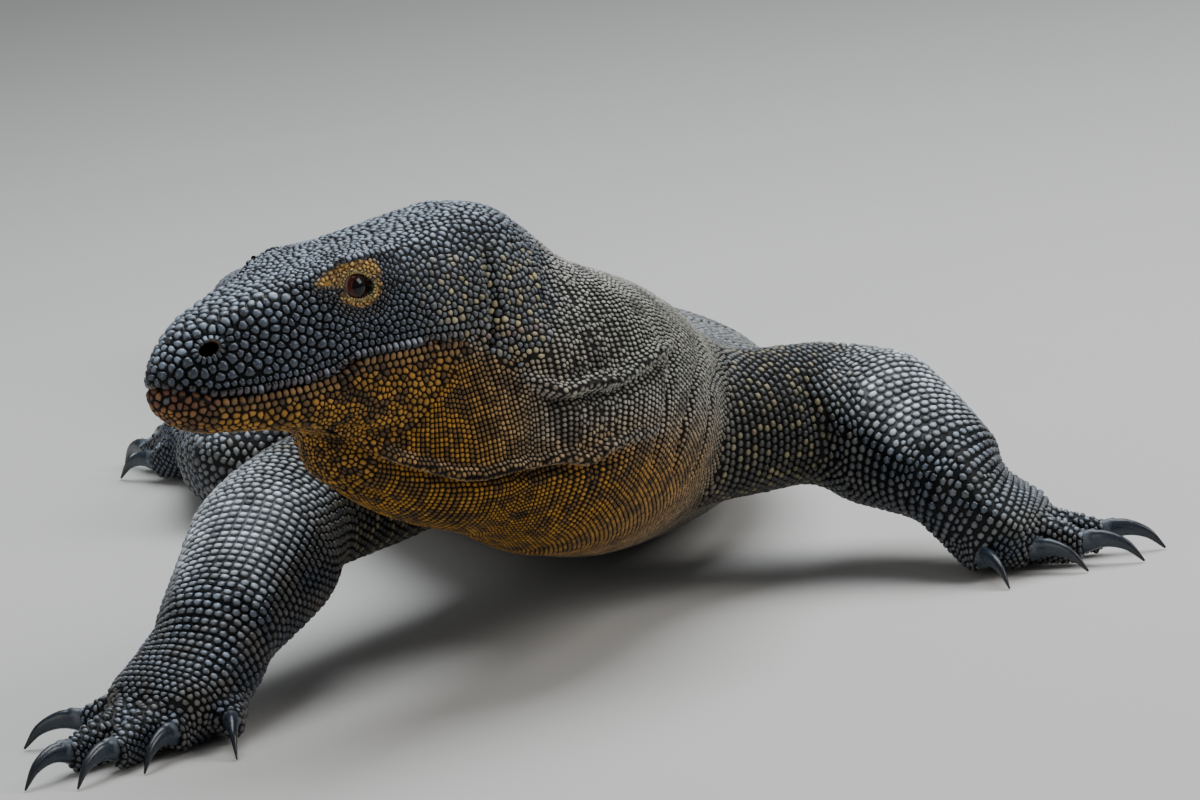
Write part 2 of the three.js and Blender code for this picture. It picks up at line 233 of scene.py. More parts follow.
LIGHTS = [
    # name, where it stands (m from the animal's fore part), size (m), strength (W), colour
    ("sky", (0.3, 0.6, 2.2), 2.0, 66, (0.93, 0.97, 1.0)),
    ("window", (1.9, -0.5, 1.4), 1.2, 24, (1.0, 0.98, 0.94)),
    ("near_fill", (-1.6, -2.2, 0.9), 1.6, 12, (1.0, 0.97, 0.92)),
]
fore_part = Vector((home + TARGET) * MM)
for name, place, size, strength, colour in LIGHTS:
    glow = bpy.data.lights.new(name, "AREA")
    glow.size, glow.energy, glow.color = size, strength, colour
    lamp = bpy.data.objects.new(name, glow)
    lamp.location = fore_part + Vector(place)
    lamp.rotation_euler = (-Vector(place)).to_track_quat("-Z", "Y").to_euler()
    bpy.context.scene.collection.objects.link(lamp)
world = bpy.data.worlds.new("studio")
world.use_nodes = True
background = world.node_tree.nodes["Background"].inputs
background["Color"].default_value = WORLD_COLOUR
background["Strength"].default_value = WORLD_STRENGTH
bpy.context.scene.world = world


# The skin: one surface over all the flesh, grown from the solids and smoothed, then worked
# with folds, lids, nostrils, ears and the line of the mouth. It lies a scale's depth inside.
FLESH = ["head", "lower_jaw", "neck", "trunk", "tail_base", "tail_middle", "tail_tip"]
LIMB_PARTS = ["upper_arm", "forearm", "hand", "thigh", "shank", "foot"]
FLESH += [f"{part}_{side}" for side in SIDES for part in LIMB_PARTS]
# each limb's root, elbow or knee, wrist or ankle, and the middle of its hand or foot
LIMB_JOINTS = {
    "arm_right": [(-70, 40, 84), (-154, -70, 77), (-191, -163, 42), (-221, -202, 19)],
    "arm_left": [(40, -10, 80), (118, 38, 76), (165, -26, 48), (203, -37, 19)],
    "leg_right": [(-104, 440, 52), (-198, 306, 36), (-212, 426, 22), (-226, 478, 16)],
    "leg_left": [(-52, 440, 52), (64, 352, 36), (24, 462, 20), (76, 475, 16)],
}
GROW = 0.4  # closes the thin cuts between the solids
WELD = 1e-6  # metres
VOXEL = 1.9
SKIN_FACES = 190000
# how far the smoothing reaches over each piece, in mm
SOFTEN = {
    "head": 3.6, "lower_jaw": 4, "neck": 14, "trunk": 17, "tail_base": 11, "tail_middle": 8,
    "tail_tip": 4, "upper_arm": 9, "forearm": 8, "hand": 2.6, "thigh": 10, "shank": 7, "foot": 2.4,
}
SOFTEN_ROUNDS = 180
REACH_ROUNDS = 60
# the same at a wrist or ankle, how far round it, and how far on towards the hand's or foot's middle
WRIST_SOFTEN, WRIST_REACH, WRIST_PLACE = 9, 30, 0.25


def part_of(node):
    return node.removesuffix("_right").removesuffix("_left")


def closed_flesh():
    """Every fleshy solid, a little swollen, as one mesh, with a search tree that knows the nodes."""
    body = bmesh.new()
    triangles, owners = [], []
    for index, node in enumerate(FLESH):
        piece = bmesh.new()
        piece.from_mesh(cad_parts[node].data)
        bmesh.ops.remove_doubles(piece, verts=piece.verts, dist=WELD)
        piece.normal_update()
        for vertex in piece.verts:
            vertex.co += vertex.normal * GROW * MM
        spots = [body.verts.new(v.co) for v in piece.verts]
        piece.verts.index_update()
        for face in piece.faces:
            body.faces.new([spots[v.index] for v in face.verts])
            owners.append(index)
        piece.free()
    body.verts.index_update()
    for face in body.faces:
        triangles.append([v.index for v in face.verts])
    points = [np.array(v.co) / MM - home for v in body.verts]
    mesh = bpy.data.meshes.new("flesh")
    body.to_mesh(mesh)
    body.free()
    return mesh, BVHTree.FromPolygons([Vector(p) for p in points], triangles), owners


def mesh_arrays(mesh):
    """Points in millimetres, triangles, edges and normals of a mesh."""
    points = np.empty(len(mesh.vertices) * 3, np.float32)
    mesh.vertices.foreach_get("co", points)
    normals = np.empty(len(mesh.vertices) * 3, np.float32)
    mesh.vertices.foreach_get("normal", normals)
    mesh.calc_loop_triangles()
    triangles = np.empty(len(mesh.loop_triangles) * 3, np.int32)
    mesh.loop_triangles.foreach_get("vertices", triangles)
    edges = np.empty(len(mesh.edges) * 2, np.int32)
    mesh.edges.foreach_get("vertices", edges)
    points = points.reshape(-1, 3).astype(float) / MM - home
    return points, triangles.reshape(-1, 3), edges.reshape(-1, 2), normals.reshape(-1, 3).astype(float)


def soften(points, edges, share, rounds):
    """Moves each point towards the middle of its neighbours, by its own share, again and again."""
    count = len(points)
    a, b = np.concatenate([edges[:, 0], edges[:, 1]]), np.concatenate([edges[:, 1], edges[:, 0]])
    neighbours = np.maximum(np.bincount(a, minlength=count), 1)
    share = np.asarray(share).reshape(-1, 1)
    points = points.reshape(count, -1)
    for _ in range(rounds):
        middle = np.stack([np.bincount(a, column[b], count) / neighbours for column in points.T], 1)
        points = points + share * (middle - points)
    return points


def evaluated(made):
    """The mesh of an object with its modifiers applied."""
    graph = bpy.context.evaluated_depsgraph_get()
    return bpy.data.meshes.new_from_object(made.evaluated_get(graph))


def write_points(mesh, points):
    mesh.vertices.foreach_set("co", ((points + home) * MM).astype(np.float32).ravel())
    mesh.update()


flesh_mesh, flesh_tree, owners = closed_flesh()
skin = bpy.data.objects.new("skin", flesh_mesh)
bpy.context.scene.collection.objects.link(skin)
grow = skin.modifiers.new("grow", "REMESH")
grow.mode, grow.voxel_size = "VOXEL", VOXEL * MM
grown = evaluated(skin)
skin.modifiers.clear()
skin.data = grown


def owner_of(points):
    """The index in FLESH of the solid that lies nearest to each point."""
    return np.array([owners[flesh_tree.find_nearest(Vector(p))[2]] for p in points])


points, triangles, edges, normals = mesh_arrays(grown)
labels = owner_of(points)
reach = np.array([SOFTEN[part_of(node)] for node in FLESH])[labels]
for joints in LIMB_JOINTS.values():
    wrist, hand = np.array(joints[2:], float)
    gap = np.linalg.norm(points - (wrist + WRIST_PLACE * (hand - wrist)), axis=1)
    reach = np.maximum(reach, WRIST_SOFTEN * np.exp(-((gap / WRIST_REACH) ** 2)))
reach = soften(reach, edges, 0.5, REACH_ROUNDS).ravel()
share = np.minimum(0.9, 2 * (reach / VOXEL) ** 2 / SOFTEN_ROUNDS)
points = soften(points, edges, share, SOFTEN_ROUNDS)
write_points(grown, points)

# The face: brows, nostrils, ear slits and the closed mouth, worked into the skin in the head's
# own frame, where a spot is ahead of, left of and above the ears' middle. The mesh is made finer
# there first.
# ahead and up along the closed mouth, from the front
MOUTH = [(164, -18), (150, -24), (121, -24), (102, -22.7), (85, -19.6), (73, -14), (35, -11.5), (13, -12)]
MOUTH_LINE = np.array(MOUTH[::-1], float)
MUZZLE = 128  # ahead of here the mouth's line turns across the snout
MUZZLE_SHARE = 0.2  # how much of the mouth's line that is
MOUTH_STEPS = 60
CHIN_STEPS = 12  # of those, how many the crease across the snout's tip has on each side
OPENING_AHEAD, OPENING_UP = 0.8, 0.8  # the middle of the opening between the lids, from the ball's
BY_EYE = 8  # nothing nearer than this to the head's middle plane belongs to an eye
# how far the lids reach from the opening's middle: degrees from ahead, turning up, and mm
LID_EDGE = [(0, 20), (8, 22), (22, 18.5), (40, 15.5), (70, 12.8), (100, 12.2), (125, 14.5), (142, 17),
            (160, 15), (195, 12), (235, 11.2), (270, 11), (300, 11), (328, 11), (345, 14), (360, 20)]
NOSTRIL_AT = (209, 349.5)  # in the camera's frame, like its half length and half height
NOSTRIL_LONG, NOSTRIL_HIGH, NOSTRIL_TILT = 11.0, 7.8, math.radians(22)
NOSTRIL_TURNS = 48
NOSTRIL_DEEP = 14  # nothing further than this from a nostril's plane belongs to it
EAR = [(-5, 38, 27), (-2, 45, 13), (0, 45, -13), (4, 44, -22)]
EAR_HOLE = [(-1, 45, 4), (0, 45, -8), (3, 44, -20)]
BROW = [(103, 20, 20.5), (94, 24.5, 26), (80, 29, 29.8), (66, 31.5, 31.8), (53, 31.5, 32), (40, 29, 32)]
CANTHUS = [(103, 20, 20.5), (120, 16.5, 13), (140, 13.5, 7)]
# how near a line or a hole the mesh is made finer: in mm, and in shares of its reach
FINE_MOUTH, FINE_EAR, FINE_LID, FINE_NOSTRIL = 4.5, 6, 1.5, 2.2


def around(count, first=0.0):
    """Angles evenly round a circle."""
    return (np.arange(count) + first) / count * 2 * math.pi


def mouth_ray(s, sign):
    """Where the mouth's line leaves the head's middle plane, and the way it faces, for s from 0 to 1."""
    if s < MUZZLE_SHARE:
        angle = s / MUZZLE_SHARE * math.pi / 2
        ahead = MUZZLE + (MOUTH[0][0] - MUZZLE) * math.cos(angle)
        way = (math.cos(angle), sign * math.sin(angle), 0)
        start = MUZZLE
    else:
        ahead = MUZZLE + (MOUTH[-1][0] - MUZZLE) * (s - MUZZLE_SHARE) / (1 - MUZZLE_SHARE)
        way, start = (0, sign, 0), ahead
    return np.array([start, 0, np.interp(ahead, *MOUTH_LINE.T)]), np.array(way, float)


def skin_tree(points, triangles):
    return BVHTree.FromPolygons([Vector(p) for p in points], triangles.tolist())


def cast_on_head(tree, start, way):
    origin, direction = on_head(start), np.asarray(way) @ HEAD_AXES
    return tree.ray_cast(Vector(origin), Vector(direction))[0]


def mirrored(line, sign):
    return on_head([(x, y * sign, z) for x, y, z in line])


def line_distance(points, line):
    """Each point's distance from a line, and how far along the line it lies, from 0 to 1."""
    line = np.asarray(line, float)
    best, where = np.full(len(points), 1e9), np.zeros(len(points))
    for index, (a, b) in enumerate(zip(line[:-1], line[1:])):
        along = b - a
        u = np.clip((points - a) @ along / max(along @ along, 1e-9), 0, 1)
        gap = np.linalg.norm(points - a - u[:, None] * along, axis=1)
        nearer = gap < best
        best[nearer], where[nearer] = gap[nearer], (index + u[nearer]) / (len(line) - 1)
    return best, where


def ridge(points, normals, line, height, width, bank=0.0, fade=0.0):
    """How a ridge along a line, or a crease where height is negative, moves the skin, with banks."""
    gap, where = line_distance(points, line)
    shape = np.exp(-((gap / width) ** 2)) - bank * np.exp(-(((gap - 2.1 * width) / width) ** 2))
    if fade:
        shape *= np.clip(np.minimum(where, 1 - where) / fade, 0, 1) ** 0.7
    return normals * (height * shape)[:, None]


def on_skin(tree, line):
    """The spots of the skin that lie behind spots of the camera's frame."""
    hits = [tree.ray_cast(Vector(camera_at), Vector(sight_line(*spot)))[0] for spot in line]
    return np.array([hit for hit in hits if hit is not None])


def nostril_place(points, sign):
    """How far each point lies from a nostril's middle, 1 being the hole's edge, and how far above
    and behind it."""
    offset = from_head(points) * [1, sign, 1] - nostril_middle
    across = offset @ nostril_axes.T
    share = np.hypot(*(across[:, :2] / nostril_reach).T)
    return np.where(np.abs(across[:, 2]) < NOSTRIL_DEEP, share, 99.0), offset[:, 2] - offset[:, 0]


def lid_edge(angle):
    return np.interp(np.degrees(angle) % 360, *zip(*LID_EDGE))


def eye_place(points, sign):
    """Each point's distance and angle from an eye opening's middle, and how far out it lies."""
    ahead, out, up = (from_head(points) - [EYE_AHEAD + OPENING_AHEAD, 0, EYE_UP + OPENING_UP]).T
    out = out * sign
    away = np.where(out > BY_EYE, np.hypot(ahead, up), 1e3)
    return away, np.arctan2(up, ahead) % (2 * math.pi), out


def beside_lid(points, sign):
    """1 at the lid's outer edge, less inside it."""
    away, angle, _ = eye_place(points, sign)
    return away / lid_edge(angle)


def by_lid_or_nostril(points, lid, nostril):
    """Which points lie within these shares of the reach of a lid or of a nostril."""
    near = np.zeros(len(points), bool)
    for sign in SIDES.values():
        near |= (beside_lid(points, sign) < lid) | (nostril_place(points, sign)[0] < nostril)
    return near


def pit(points, normals, line, depth, width, inward):
    """How a hole with steep walls and a low rim along a line moves the skin, straight inward."""
    gap, _ = line_distance(points, line)
    rim = 0.9 * np.exp(-(((gap - 1.5 * width) / (0.5 * width)) ** 2))
    return normals * rim[:, None] + np.outer(depth * np.exp(-((gap / width) ** 6)), inward)


tree = skin_tree(points, triangles)
nostril_turn = around(NOSTRIL_TURNS)
across, above = NOSTRIL_LONG * np.cos(nostril_turn), NOSTRIL_HIGH * np.sin(nostril_turn)
cos_tilt, sin_tilt = math.cos(NOSTRIL_TILT), math.sin(NOSTRIL_TILT)
outline = from_head(on_skin(tree, np.stack([NOSTRIL_AT[0] + across * cos_tilt - above * sin_tilt,
                                            NOSTRIL_AT[1] - across * sin_tilt - above * cos_tilt], 1)))
nostril_middle = outline.mean(axis=0)
_, spread, nostril_axes = np.linalg.svd(outline - nostril_middle)
nostril_axes[2] *= np.sign(nostril_axes[2, 1])
nostril_reach = spread[:2] * math.sqrt(2 / len(outline))
mouth_lines = []
for sign in SIDES.values():
    spots = [cast_on_head(tree, *mouth_ray(s, sign)) for s in np.linspace(0, 1, MOUTH_STEPS)]
    mouth_lines.append(np.array([spot for spot in spots if spot is not None]))

fine = by_lid_or_nostril(points, FINE_LID, FINE_NOSTRIL)
for sign, line in zip(SIDES.values(), mouth_lines):
    fine |= line_distance(points, line)[0] < FINE_MOUTH
    fine |= line_distance(points, mirrored(EAR, sign))[0] < FINE_EAR
worked = bmesh.new()
worked.from_mesh(grown)
worked.verts.ensure_lookup_table()
cut = [edge for edge in worked.edges if fine[edge.verts[0].index] and fine[edge.verts[1].index]]
bmesh.ops.subdivide_edges(worked, edges=cut, cuts=1, use_grid_fill=True)
bmesh.ops.triangulate(worked, faces=[face for face in worked.faces if len(face.verts) > 4])
worked.to_mesh(grown)
worked.free()
points, triangles, edges, normals = mesh_arrays(grown)

for sign, line in zip(SIDES.values(), mouth_lines):
    points += ridge(points, normals, mirrored(BROW, sign), 2.4, 3.2, fade=0.2)
    points += ridge(points, normals, mirrored(CANTHUS, sign), 1.1, 4.0, fade=0.2)
    points += ridge(points, normals, mirrored(EAR, sign), -2.6, 2.8, 0.4, fade=0.25)
    points += pit(points, normals, mirrored(EAR_HOLE, sign), 6.5, 2.0, -sign * leftward)
    points += ridge(points, normals, line, -1.7, 1.0, 0.35, fade=0.04)
across_snout = np.concatenate([mouth_lines[0][CHIN_STEPS:0:-1], mouth_lines[1][:CHIN_STEPS]])
points += ridge(points, normals, across_snout, -2.0, 0.9)

# The eyelids: a thin soft sheet round each eye, from the rim that lies on the ball out to the
# brow and the cheek, with a rolled edge and a crease. The skin under it is sunk out of its way.
COAT = 0.9  # how deep the skin lies inside the solids, which is what the scales fill
EYE_OUT = 25.5  # from the head's middle plane to the ball's middle
EYE_LONG, EYE_HIGH = 7.5, 5.5  # half the opening between the lids
OPENING_TILT = 0.12
LID_TURNS, LID_RINGS = 96, 16
LID_ROLL, LID_CREASE, LID_WRINKLE = 0.7, 0.7, 0.35  # how high or deep these are
LID_OFF_BALL = 0.75
LID_ROOT = 0.6  # how far the sheet's first ring lies inside the ball
LID_END = 1.0  # how far its outer edge dips into the skin
LID_ROOM, BALL_ROOM = 1.7, 1.0  # how far the skin is sunk under a lid, and inside the ball
FAR_OUT = 70  # where rays towards the side of the face start


def smoothstep(value, low, high):
    u = np.clip((value - low) / (high - low), 0, 1)
    return u * u * (3 - 2 * u)


def opening(angle):
    """The eye opening's reach from its middle, at an angle from ahead that turns up."""
    tilted = angle - OPENING_TILT
    return 1 / np.hypot(np.cos(tilted) / EYE_LONG, np.sin(tilted) / EYE_HIGH)


def ball_out(ahead, up):
    """How far out the eyeball stands, beside its own middle's place ahead and up."""
    return EYE_OUT + np.sqrt(np.clip(EYE_RADIUS**2 - ahead**2 - up**2, 0, None))


def lid_sheet(tree, sign):
    """A ring of spots on the ball, then rings outward to the lid's edge."""
    angle = around(LID_TURNS)
    rings = []
    for ring in range(-1, LID_RINGS):
        share = max(ring, 0) / (LID_RINGS - 1)
        away = opening(angle) + (lid_edge(angle) - opening(angle)) * share**1.3
        ahead, up = OPENING_AHEAD + away * np.cos(angle), OPENING_UP + away * np.sin(angle)
        ball = ball_out(ahead, up)
        if ring < 0:
            rings.append(on_head(np.stack([EYE_AHEAD + ahead, sign * (ball - LID_ROOT), EYE_UP + up], 1)))
            continue
        spots = [cast_on_head(tree, [EYE_AHEAD + a, sign * FAR_OUT, EYE_UP + u], [0, -sign, 0])
                 for a, u in zip(ahead, up)]
        ground = np.array([from_head(spot)[1] * sign for spot in spots]) - COAT
        past = away - opening(angle)
        lower = smoothstep(-np.sin(angle), -0.1, 0.4)
        relief = LID_ROLL * np.exp(-(((past - 1.3) / 0.9) ** 2))
        relief -= LID_CREASE * np.exp(-(((past - 3.0) / 0.6) ** 2))
        relief -= LID_WRINKLE * lower * smoothstep(past, 3.4, 4.2) * np.cos(past * 3.4)
        on_ball = ball + LID_OFF_BALL + 0.5 * relief
        gap = ground + relief - on_ball
        out = on_ball + 0.5 * (gap + np.hypot(gap, 0.7)) - LID_END * smoothstep(share, 0.86, 1)
        rings.append(on_head(np.stack([EYE_AHEAD + ahead, sign * out, EYE_UP + up], 1)))
    return np.array(rings)


def tube(rings, capped=True):
    """Points and triangles of a sheet through closed rings, with or without its ends."""
    count, sides = rings.shape[:2]
    k = np.arange(sides)
    first = (np.arange(count - 1) * sides)[:, None]
    a, b = first + k, first + (k + 1) % sides
    faces = np.concatenate([np.stack([a, b, b + sides], -1), np.stack([a, b + sides, a + sides], -1)])
    points, faces = rings.reshape(-1, 3), faces.reshape(-1, 3)
    if capped:
        last = (count - 1) * sides
        ends = np.full(sides, len(points))
        points = np.concatenate([points, [rings[0].mean(axis=0), rings[-1].mean(axis=0)]])
        faces = np.concatenate([faces, np.stack([ends, (k + 1) % sides, k], 1),
                                np.stack([ends + 1, last + k, last + (k + 1) % sides], 1)])
    return points, faces


def facing(points, faces, away_from):
    """The same triangles, all turned so that they face away from a spot."""
    a, b, c = points[faces].transpose(1, 0, 2)
    outward = np.sum(np.cross(b - a, c - a) * ((a + b + c) / 3 - away_from), axis=1).sum()
    return faces if outward > 0 else faces[:, ::-1]


def sheet_object(name, rings, inside, capped=True):
    """An object of a sheet through closed rings, facing away from a spot."""
    points, faces = tube(rings, capped)
    return new_mesh_object(name, points, facing(points, faces, inside))


tree = skin_tree(points, triangles)
lids = {}
for side, sign in SIDES.items():
    between_eyes = on_head([EYE_AHEAD, 0, EYE_UP])
    lids[side] = sheet_object(f"eyelids_{side}", lid_sheet(tree, sign), between_eyes, capped=False)
    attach(lids[side], "root")
    away, angle, out = eye_place(points, sign)
    inside = 1 - away / lid_edge(angle)
    place = from_head(points) - [EYE_AHEAD, 0, EYE_UP]
    ball = ball_out(place[:, 0], place[:, 2])
    moved = out - LID_ROOM * smoothstep(inside, 0, 0.18)
    moved = np.where((away < EYE_RADIUS) & (inside > 0.1), np.minimum(moved, ball - BALL_ROOM), moved)
    points += np.outer(np.where(inside > 0, moved - out, 0) * sign, leftward)

# The nostrils: each a small soft cup in the snout's side, with a low rim and a deep hole painted near-black
# as shade.
# The skin is sunk under it, and small scales stand round its rim.
# from the skin around over the rim and down the hole: share of its reach, and mm out
NOSTRIL_CUP = [(1.75, -1.6), (1.5, -0.9), (1.26, -0.3), (1.1, 0.25), (1.0, 0.2), (0.95, -0.5), (0.91, -2.0),
               (0.82, -4.5), (0.55, -6.5), (0.15, -7.2)]
NOSTRIL_ROOM = 9.5  # how far the skin is sunk under it
SNOUT_OUT, HEAD_DEEP = 20, 30  # where rays towards it start, and a spot well behind it


def nostril_oval(turn, wider=0.0):
    """Spots round a nostril's opening, from its middle."""
    return np.stack([np.cos(turn), np.sin(turn)], 1) * (nostril_reach + wider) @ nostril_axes[:2]


def nostril_cup(tree, sign):
    """Rings from the snout's skin over the rim and down into the hole."""
    oval = nostril_oval(nostril_turn)
    flip = np.array([1, sign, 1])
    away = nostril_axes[2] * flip
    rings = []
    for share, rise in NOSTRIL_CUP:
        starts = (nostril_middle + max(share, 1) * oval + SNOUT_OUT * nostril_axes[2]) * flip
        ring = np.array([from_head(cast_on_head(tree, start, -away)) for start in starts])
        middle = ring.mean(axis=0)
        rings.append(on_head(middle + min(share, 1) * (ring - middle) + rise * away))
    return np.array(rings)


nostrils = {}
for side, sign in SIDES.items():
    inward = -(nostril_axes[2] * [1, sign, 1]) @ HEAD_AXES
    in_head = on_head(nostril_middle * [1, sign, 1]) + HEAD_DEEP * inward
    nostrils[side] = sheet_object(f"nostril_{side}", nostril_cup(tree, sign), in_head, capped=False)
    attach(nostrils[side], "root")
    share, _ = nostril_place(points, sign)
    points += np.outer(NOSTRIL_ROOM * (1 - smoothstep(share, 1.1, 1.45)), inward)
write_points(grown, points)
normals = mesh_arrays(grown)[3]

# The folds: loose skin gathers in ridges and creases on the neck, throat, wrists, elbows and
# flanks. Each is a line on the skin, and those of the neck and flanks have a like one on the
# other side.
# the middle of the throat, neck, trunk and tail, from the front
SPINE = np.concatenate([on_head([(55, 0, -57), (25, 0, -54), (-10, 0, -46)]), [
    (-39, -130, 136), (-20, -80, 122), (-14, -20, 104), (-12, 45, 86), (-9, 110, 68), (-12, 180, 59),
    (-26, 260, 55), (-50, 340, 52), (-78, 410, 49), (-99, 470, 46), (-122, 535, 41), (-148, 612, 38),
    (-182, 700, 34), (-206, 790, 30), (-178, 880, 25), (-118, 950, 21), (-72, 1030, 17),
    (-82, 1105, 13), (-136, 1145, 10), (-196, 1125, 7), (-222, 1070, 4)]])
# each fold: the spots it runs through in the camera's frame, its height and width in mm
# the crests of these two ridges are painted pale as a highlight
PALE_FOLDS = [
    ([(526, 376), (545, 386), (560, 391), (590, 384), (618, 379), (655, 352), (692, 328)], 6.0, 2.8),
    ([(300, 420), (332, 430), (374, 446), (402, 458), (430, 466), (464, 474), (486, 473), (514, 465),
      (548, 458), (571, 455), (587, 459), (607, 446), (630, 436), (665, 428)], 5.0, 2.5),
]
NECK_FOLDS = [
    ([(530, 388), (556, 400), (594, 395), (624, 388), (662, 362), (700, 338)], -4.4, 3.2),
    ([(370, 457), (402, 470), (432, 478), (470, 486), (516, 476), (560, 468), (596, 468),
      (640, 446)], -3.4, 3.0),
    ([(676, 330), (670, 380), (662, 430), (650, 474)], -2.2, 3.0),
    ([(700, 340), (696, 380), (684, 430), (672, 478)], -3.8, 3.2),
    ([(718, 346), (712, 390), (706, 440), (690, 480)], -3.6, 3.0),
    ([(500, 330), (520, 360), (512, 400), (500, 430)], -1.2, 5.0),
    ([(545, 262), (552, 300), (560, 340)], -1.2, 5.5),
]
THROAT_FOLDS = [
    ([(303, 432), (330, 462), (365, 490), (410, 510)], -1.1, 2.6),
    ([(306, 428), (350, 448), (400, 462), (450, 470)], -1.0, 2.6),
    ([(312, 424), (370, 432), (430, 436)], -0.9, 2.6),
    ([(340, 500), (400, 528), (470, 545), (540, 545)], -1.0, 3.0),
]
LIMB_FOLDS = [
    ([(172, 556), (205, 560), (240, 578), (262, 604)], -1.3, 2.4),
    ([(170, 570), (204, 576), (238, 596), (258, 622)], -1.2, 2.4),
    ([(168, 588), (200, 594), (234, 612), (252, 636)], -1.0, 2.4),
    ([(806, 372), (808, 396), (818, 425), (832, 455)], -2.6, 4.5),
    ([(905, 372), (898, 410), (902, 450), (915, 490)], -0.8, 4.0),
]
FLANK_ARC, FLANK_STEPS, FLANK_WIDTH = (0.5, 2.0), 12, 5.0  # radians from straight up, and mm
# on both flanks: the spine's station, how far each leans back as it goes down, and its depth
FLANK_FOLDS = [(6, 0.25, 2.2), (7, -0.15, 1.5), (8, 0.3, 1.2), (10, 0.2, 1.4), (11, -0.1, 1.8),
               (12, 0.15, 1.6)]


def far_side(tree, line):
    """The same line on the other side of the spine."""
    turned = []
    for spot in line:
        beside = np.argmin(np.linalg.norm(SPINE[1:-1] - spot, axis=1)) + 1
        across = unit(np.cross([0, 0, 1], SPINE[beside + 1] - SPINE[beside - 1]))
        other = spot - 2 * ((spot - SPINE[beside]) @ across) * across
        turned.append(tree.find_nearest(Vector(other))[0])
    return np.array(turned)


tree = skin_tree(points, triangles)
fold_highlight_lines = []
for folds in (PALE_FOLDS, NECK_FOLDS, THROAT_FOLDS, LIMB_FOLDS):
    for line, height, width in folds:
        both = [on_skin(tree, line)]
        if folds in (PALE_FOLDS, NECK_FOLDS):
            both.append(far_side(tree, both[0]))
        if folds is PALE_FOLDS:
            fold_highlight_lines += both
        for each in both:
            points += ridge(points, normals, each, height, width, fade=0.2)
for station, lean, depth in FLANK_FOLDS:
    middle, way = SPINE[station], unit(SPINE[station + 1] - SPINE[station - 1])
    across = unit(np.cross([0, 0, 1], way))
    for sign in SIDES.values():
        rays = [sign * math.sin(a) * across + [0, 0, math.cos(a)] + lean * a * way
                for a in np.linspace(*FLANK_ARC, FLANK_STEPS)]
        hits = [tree.ray_cast(Vector(middle), Vector(ray))[0] for ray in rays]
        points += ridge(points, normals, np.array(hits), -depth, FLANK_WIDTH, bank=0.4, fade=0.3)

# The skin is drawn in by the coat's depth, since the scales stand on it, and thinned out. It
# takes the place of every fleshy solid.
SKIN_LOWEST = 0.3
points -= normals * COAT
points[:, 2] = np.maximum(points[:, 2], SKIN_LOWEST)
write_points(grown, points)
thin = skin.modifiers.new("thin", "DECIMATE")
thin.ratio = min(1.0, SKIN_FACES / len(triangles))
thinned = evaluated(skin)
skin.modifiers.clear()
skin.data = thinned
thinned.shade_smooth()
thinned.name = "skin"
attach(skin, "root")
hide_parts(*FLESH)

# The scales: small horny beads in rows across the body, each row staggered on the one before,
# their free edges towards the tail. Where no row reaches they pack like pebbles.
# along the spine's stations: how far apart rows lie, and scales in a row, in mm
SPINE_GRAIN = [(0, 2.1, 2.4), (3, 2.15, 2.45), (6, 2.5, 2.8), (8, 3.6, 4.1), (12, 4.2, 4.6),
               (16, 3.7, 4.2), (20, 2.7, 3.1), (23, 1.9, 2.2)]
LIMB_GRAIN = {"arm": [(0, 3.4, 3.9), (1, 4.0, 4.3), (2, 4.0, 4.5), (3, 3.1, 4.0)],
              "leg": [(0, 4.2, 4.6), (1, 4.0, 4.3), (2, 3.8, 4.2), (3, 3.0, 3.8)]}
DIGIT_ROW, DIGIT_SCALE, BY_CLAW = 2.7, 4.0, 0.8
DIGIT_GRAIN = [(0, DIGIT_ROW * BY_CLAW, DIGIT_SCALE * BY_CLAW), (1, DIGIT_ROW, DIGIT_SCALE), (2, 2.6, 3.2)]
DIGIT_ROUTE = [(-1.5, 0.5), (20, 3), (62, 8)]  # back and up from a claw's base
CLAW_TIP, CLAW_BASE = 1, 0.86  # the height of its tip in mm, and where its base starts
SPINE_REACH, LIMB_REACH, DIGIT_REACH = 140, 62, 13.5  # from a route to the skin, at most
SPINE_RAYS, LIMB_RAYS, DIGIT_RAYS = 120, 56, 40
LIMB_WIDE_TOP, DIGIT_WIDE_TOP = 0.15, 1.1  # how much broader the scales on top are
COARSE = 1.0
HEAD, JAW = FLESH.index("head"), FLESH.index("lower_jaw")
dice = np.random.default_rng(7)

skin_points, skin_triangles, _, _ = mesh_arrays(skin.data)
skin_only = len(skin_triangles)
for sheet in (*lids.values(), *nostrils.values()):
    more_points, more_triangles, _, _ = mesh_arrays(sheet.data)
    skin_triangles = np.concatenate([skin_triangles, more_triangles + len(skin_points)])
    skin_points = np.concatenate([skin_points, more_points])
skin_bvh = skin_tree(skin_points, skin_triangles)


def search_tree(spots):
    tree = kdtree.KDTree(len(spots))
    for index, spot in enumerate(spots):
        tree.insert(spot, index)
    tree.balance()
    return tree


def nearest(points, tree):
    """The index of the spot of a search tree that lies nearest to each point."""
    return np.array([tree.find(p)[1] for p in points])


def flowing(route, step):
    """A smooth line through the route's points with a spot every step, and each spot's station
    among those points and distance from the first."""
    route = np.asarray(route, float)
    ends = np.concatenate([[2 * route[0] - route[1]], route, [2 * route[-1] - route[-2]]])
    u = np.linspace(0, len(route) - 1, 40 * len(route))
    k = np.minimum(u.astype(int), len(route) - 2)
    t = (u - k)[:, None]
    a, b, c, d = ends[k], ends[k + 1], ends[k + 2], ends[k + 3]
    line = b + 0.5 * t * (c - a + t * (2 * a - 5 * b + 4 * c - d + t * (3 * (b - c) + d - a)))
    length = np.concatenate([[0], np.cumsum(np.linalg.norm(np.diff(line, axis=0), axis=1))])
    spots = np.arange(0, length[-1], step)
    smooth = np.stack([np.interp(spots, length, column) for column in line.T], 1)
    return smooth, np.interp(spots, length, u), spots


